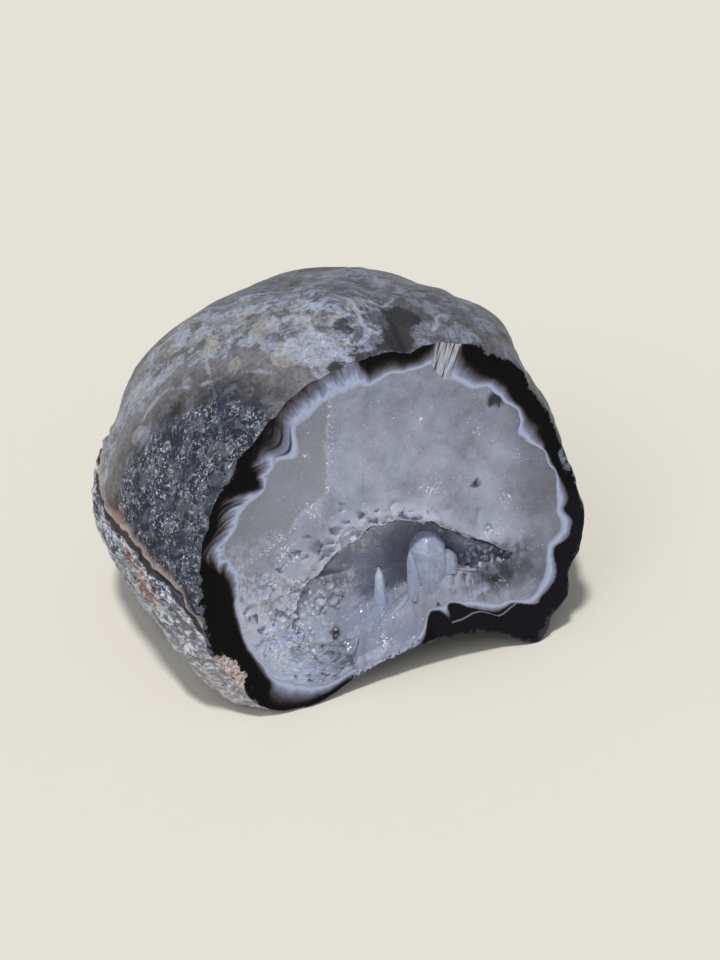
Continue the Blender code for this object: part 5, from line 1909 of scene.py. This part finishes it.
    def corners(self, base: Array, tip: Array, radius: Array, turn: Array, source: np.random.Generator) -> Array:
        """Corners of six-sided crystals: root, foot ring, shoulder ring and tip.

        Args:
            base: Foot of each crystal.
            tip: Tip of each.
            radius: Radius of each.
            turn: Turn of each about its axis, in radians.
            source: Source of the uneven shoulders.

        Returns:
            Fourteen corners for each crystal, in one list.
        """
        length = np.linalg.norm(tip - base, axis=1)[:, None]
        axis = (tip - base) / length
        side = unit(np.cross(axis, np.array([0.3, 0.2, 1.0])))
        angle = (turn[:, None] + np.arange(6) * math.pi / 3.0)[..., None]
        wide = radius[:, None] * source.uniform(0.82, 1.12, (len(base), 6))
        ring = wide[..., None] * (np.cos(angle) * side[:, None, :] + np.sin(angle) * np.cross(axis, side)[:, None, :])
        high = self.shoulder + source.uniform(-0.12, 0.12, (len(base), 6))
        foot = base[:, None, :] + ring
        shoulder = base[:, None, :] + high[..., None] * (length * axis)[:, None, :] + self.taper * ring
        top = tip + 0.15 * ring[:, 0]
        root = base + np.array([0.0, 0.0, 1.0]) * np.minimum(0.4, 0.5 * radius)[:, None]
        points = np.concatenate([root[:, None, :], foot, shoulder, top[:, None, :]], axis=1).reshape(-1, 3)
        points[:, 2] = np.maximum(points[:, 2], self.clearance)
        return points

    def faces(self, count: int) -> Array:
        """Faces of crystals: six sides between the rings, six at the tip and six at the root."""
        step = np.arange(6)
        after = (step + 1) % 6
        sides = np.stack([1 + step, 1 + after, 7 + after, 7 + step], axis=1)
        top = np.stack([13 + 0 * step, 7 + step, 7 + after, 13 + 0 * step], axis=1)
        root = np.stack([0 * step, 1 + after, 1 + step, 0 * step], axis=1)
        one = np.concatenate([sides, top, root])
        return (one[None, :, :] + 14 * np.arange(count)[:, None, None]).reshape(-1, 4)


@dataclass
class Studio:
    """Pale floor, soft light and the camera.

    Attributes:
        floor_size: Side of the floor in metres.
        floor_drop: How far the floor lies below the stone, in metres.
        floor_colour: Colour of the floor.
        backdrop: Colour that the camera sees past the floor.
        sky: Colour of the light from all round.
        sky_strength: Strength of that light.
        camera_at: Place of the camera in millimetres.
        camera_to: Point that it looks at.
        lens: Focal length in millimetres.
        suns: Name, direction, strength, angle in degrees and colour of each far light.
    """

    floor_size: float = 6.0
    floor_drop: float = 0.0001
    floor_colour: Colour = (0.8, 0.766, 0.682)
    backdrop: Colour = (0.804, 0.766, 0.678)
    sky: Colour = (0.93, 0.97, 1.0)
    sky_strength: float = 0.36
    camera_at: Triple = (-102.07, -232.0, 172.68)
    camera_to: Triple = (0.79, -11.41, 20.59)
    lens: float = 85.0
    suns: tuple[tuple[str, Triple, float, float, Colour], ...] = (
        ("key", (-0.21, -0.19, 0.96), 1.92, 7.0, (1.0, 0.985, 0.96)),
        ("front", (-0.66, -0.4, 0.63), 0.34, 26.0, (0.88, 0.94, 1.0)),
    )

    def build(self) -> None:
        """Build the floor, the lights and the camera."""
        self.build_floor()
        for name, towards, strength, softness, colour in self.suns:
            self.build_sun(name, towards, strength, softness, colour)
        self.build_sky()
        self.build_camera()
        bpy.context.scene.view_settings.view_transform = "Standard"

    def build_floor(self) -> None:
        """Lay the floor a hair below the stone."""
        half = 0.5 * self.floor_size
        corners = half * np.array([(-1, -1, 0), (1, -1, 0), (1, 1, 0), (-1, 1, 0)]) - (0.0, 0.0, self.floor_drop)
        bench = MaterialBench("floor")
        mottle = bench.noise(bench.place(), 40.0, 2.0)
        base = bench.shade(0.995 + 0.01 * mottle, (*self.floor_colour, 1.0))
        material = bench.finish(Base_Color=base, Roughness=0.9, Specular_IOR_Level=0.0)
        floor = Mesh("floor", corners, np.array([[0, 1, 2, 3]]), np.zeros(1, int)).to_object([material], None)

    def build_sun(
        self, name: str, towards: Triple, strength: float, softness: float, colour: Colour
    ) -> None:
        """Hang one soft far light.

        Args:
            name: Name of the light.
            towards: Direction from the stone to the light.
            strength: Strength of the light.
            softness: Angle that the light spans, in degrees.
            colour: Colour of the light.
        """
        data = bpy.data.lights.new(name, "SUN")
        data.energy = strength
        data.angle = math.radians(softness)
        data.color = colour
        lamp = bpy.data.objects.new(name, data)
        away = np.array(towards) / np.linalg.norm(towards)
        lamp.rotation_euler = (math.acos(away[2]), 0.0, math.atan2(away[0], -away[1]))
        bpy.context.scene.collection.objects.link(lamp)

    def build_sky(self) -> None:
        """Even light from all round, which the camera sees as the plain backdrop."""
        world = bpy.data.worlds.new("sky")
        world.use_nodes = True
        tree = world.node_tree
        tree.nodes.clear()
        light = tree.nodes.new("ShaderNodeBackground")
        light.inputs["Color"].default_value = (*self.sky, 1.0)
        light.inputs["Strength"].default_value = self.sky_strength
        plain = tree.nodes.new("ShaderNodeBackground")
        plain.inputs["Color"].default_value = (*self.backdrop, 1.0)
        path = tree.nodes.new("ShaderNodeLightPath")
        mix = tree.nodes.new("ShaderNodeMixShader")
        output = tree.nodes.new("ShaderNodeOutputWorld")
        tree.links.new(path.outputs["Is Camera Ray"], mix.inputs[0])
        tree.links.new(light.outputs[0], mix.inputs[1])
        tree.links.new(plain.outputs[0], mix.inputs[2])
        tree.links.new(mix.outputs[0], output.inputs["Surface"])
        bpy.context.scene.world = world

    def build_camera(self) -> None:
        """Set up the camera where the photograph was taken from."""
        data = bpy.data.cameras.new("camera")
        data.lens = self.lens
        data.clip_start = 0.01
        data.clip_end = 50.0
        camera = bpy.data.objects.new("camera", data)
        place = np.array(self.camera_at) * MM
        way = np.array(self.camera_to) * MM - place
        flat = math.hypot(way[0], way[1])
        camera.location = place
        camera.rotation_euler = (math.pi / 2.0 + math.atan2(way[2], flat), 0.0, math.atan2(-way[0], way[1]))
        bpy.context.scene.collection.objects.link(camera)
        bpy.context.scene.camera = camera


def main() -> None:
    """Build the stone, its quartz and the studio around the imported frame."""
    logging.basicConfig(level=logging.INFO, format="%(name)s: %(message)s")
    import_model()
    Studio().build()
    pieces = (
        (AgateStone().build(), "agate_shell", "agate"),
        (QuartzLining().build(), "quartz_crust", "quartz"),
        (Druse().build(), "quartz_crust", "quartz"),
        (Druse().build_large(), "quartz_crust", "quartz"),
    )
    for piece, node, slot in pieces:
        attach(piece, "root")
        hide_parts(node)
        log.info("%s: %d faces for %s", piece.name, len(piece.data.polygons), node)


if __name__ == "__main__":
    main()
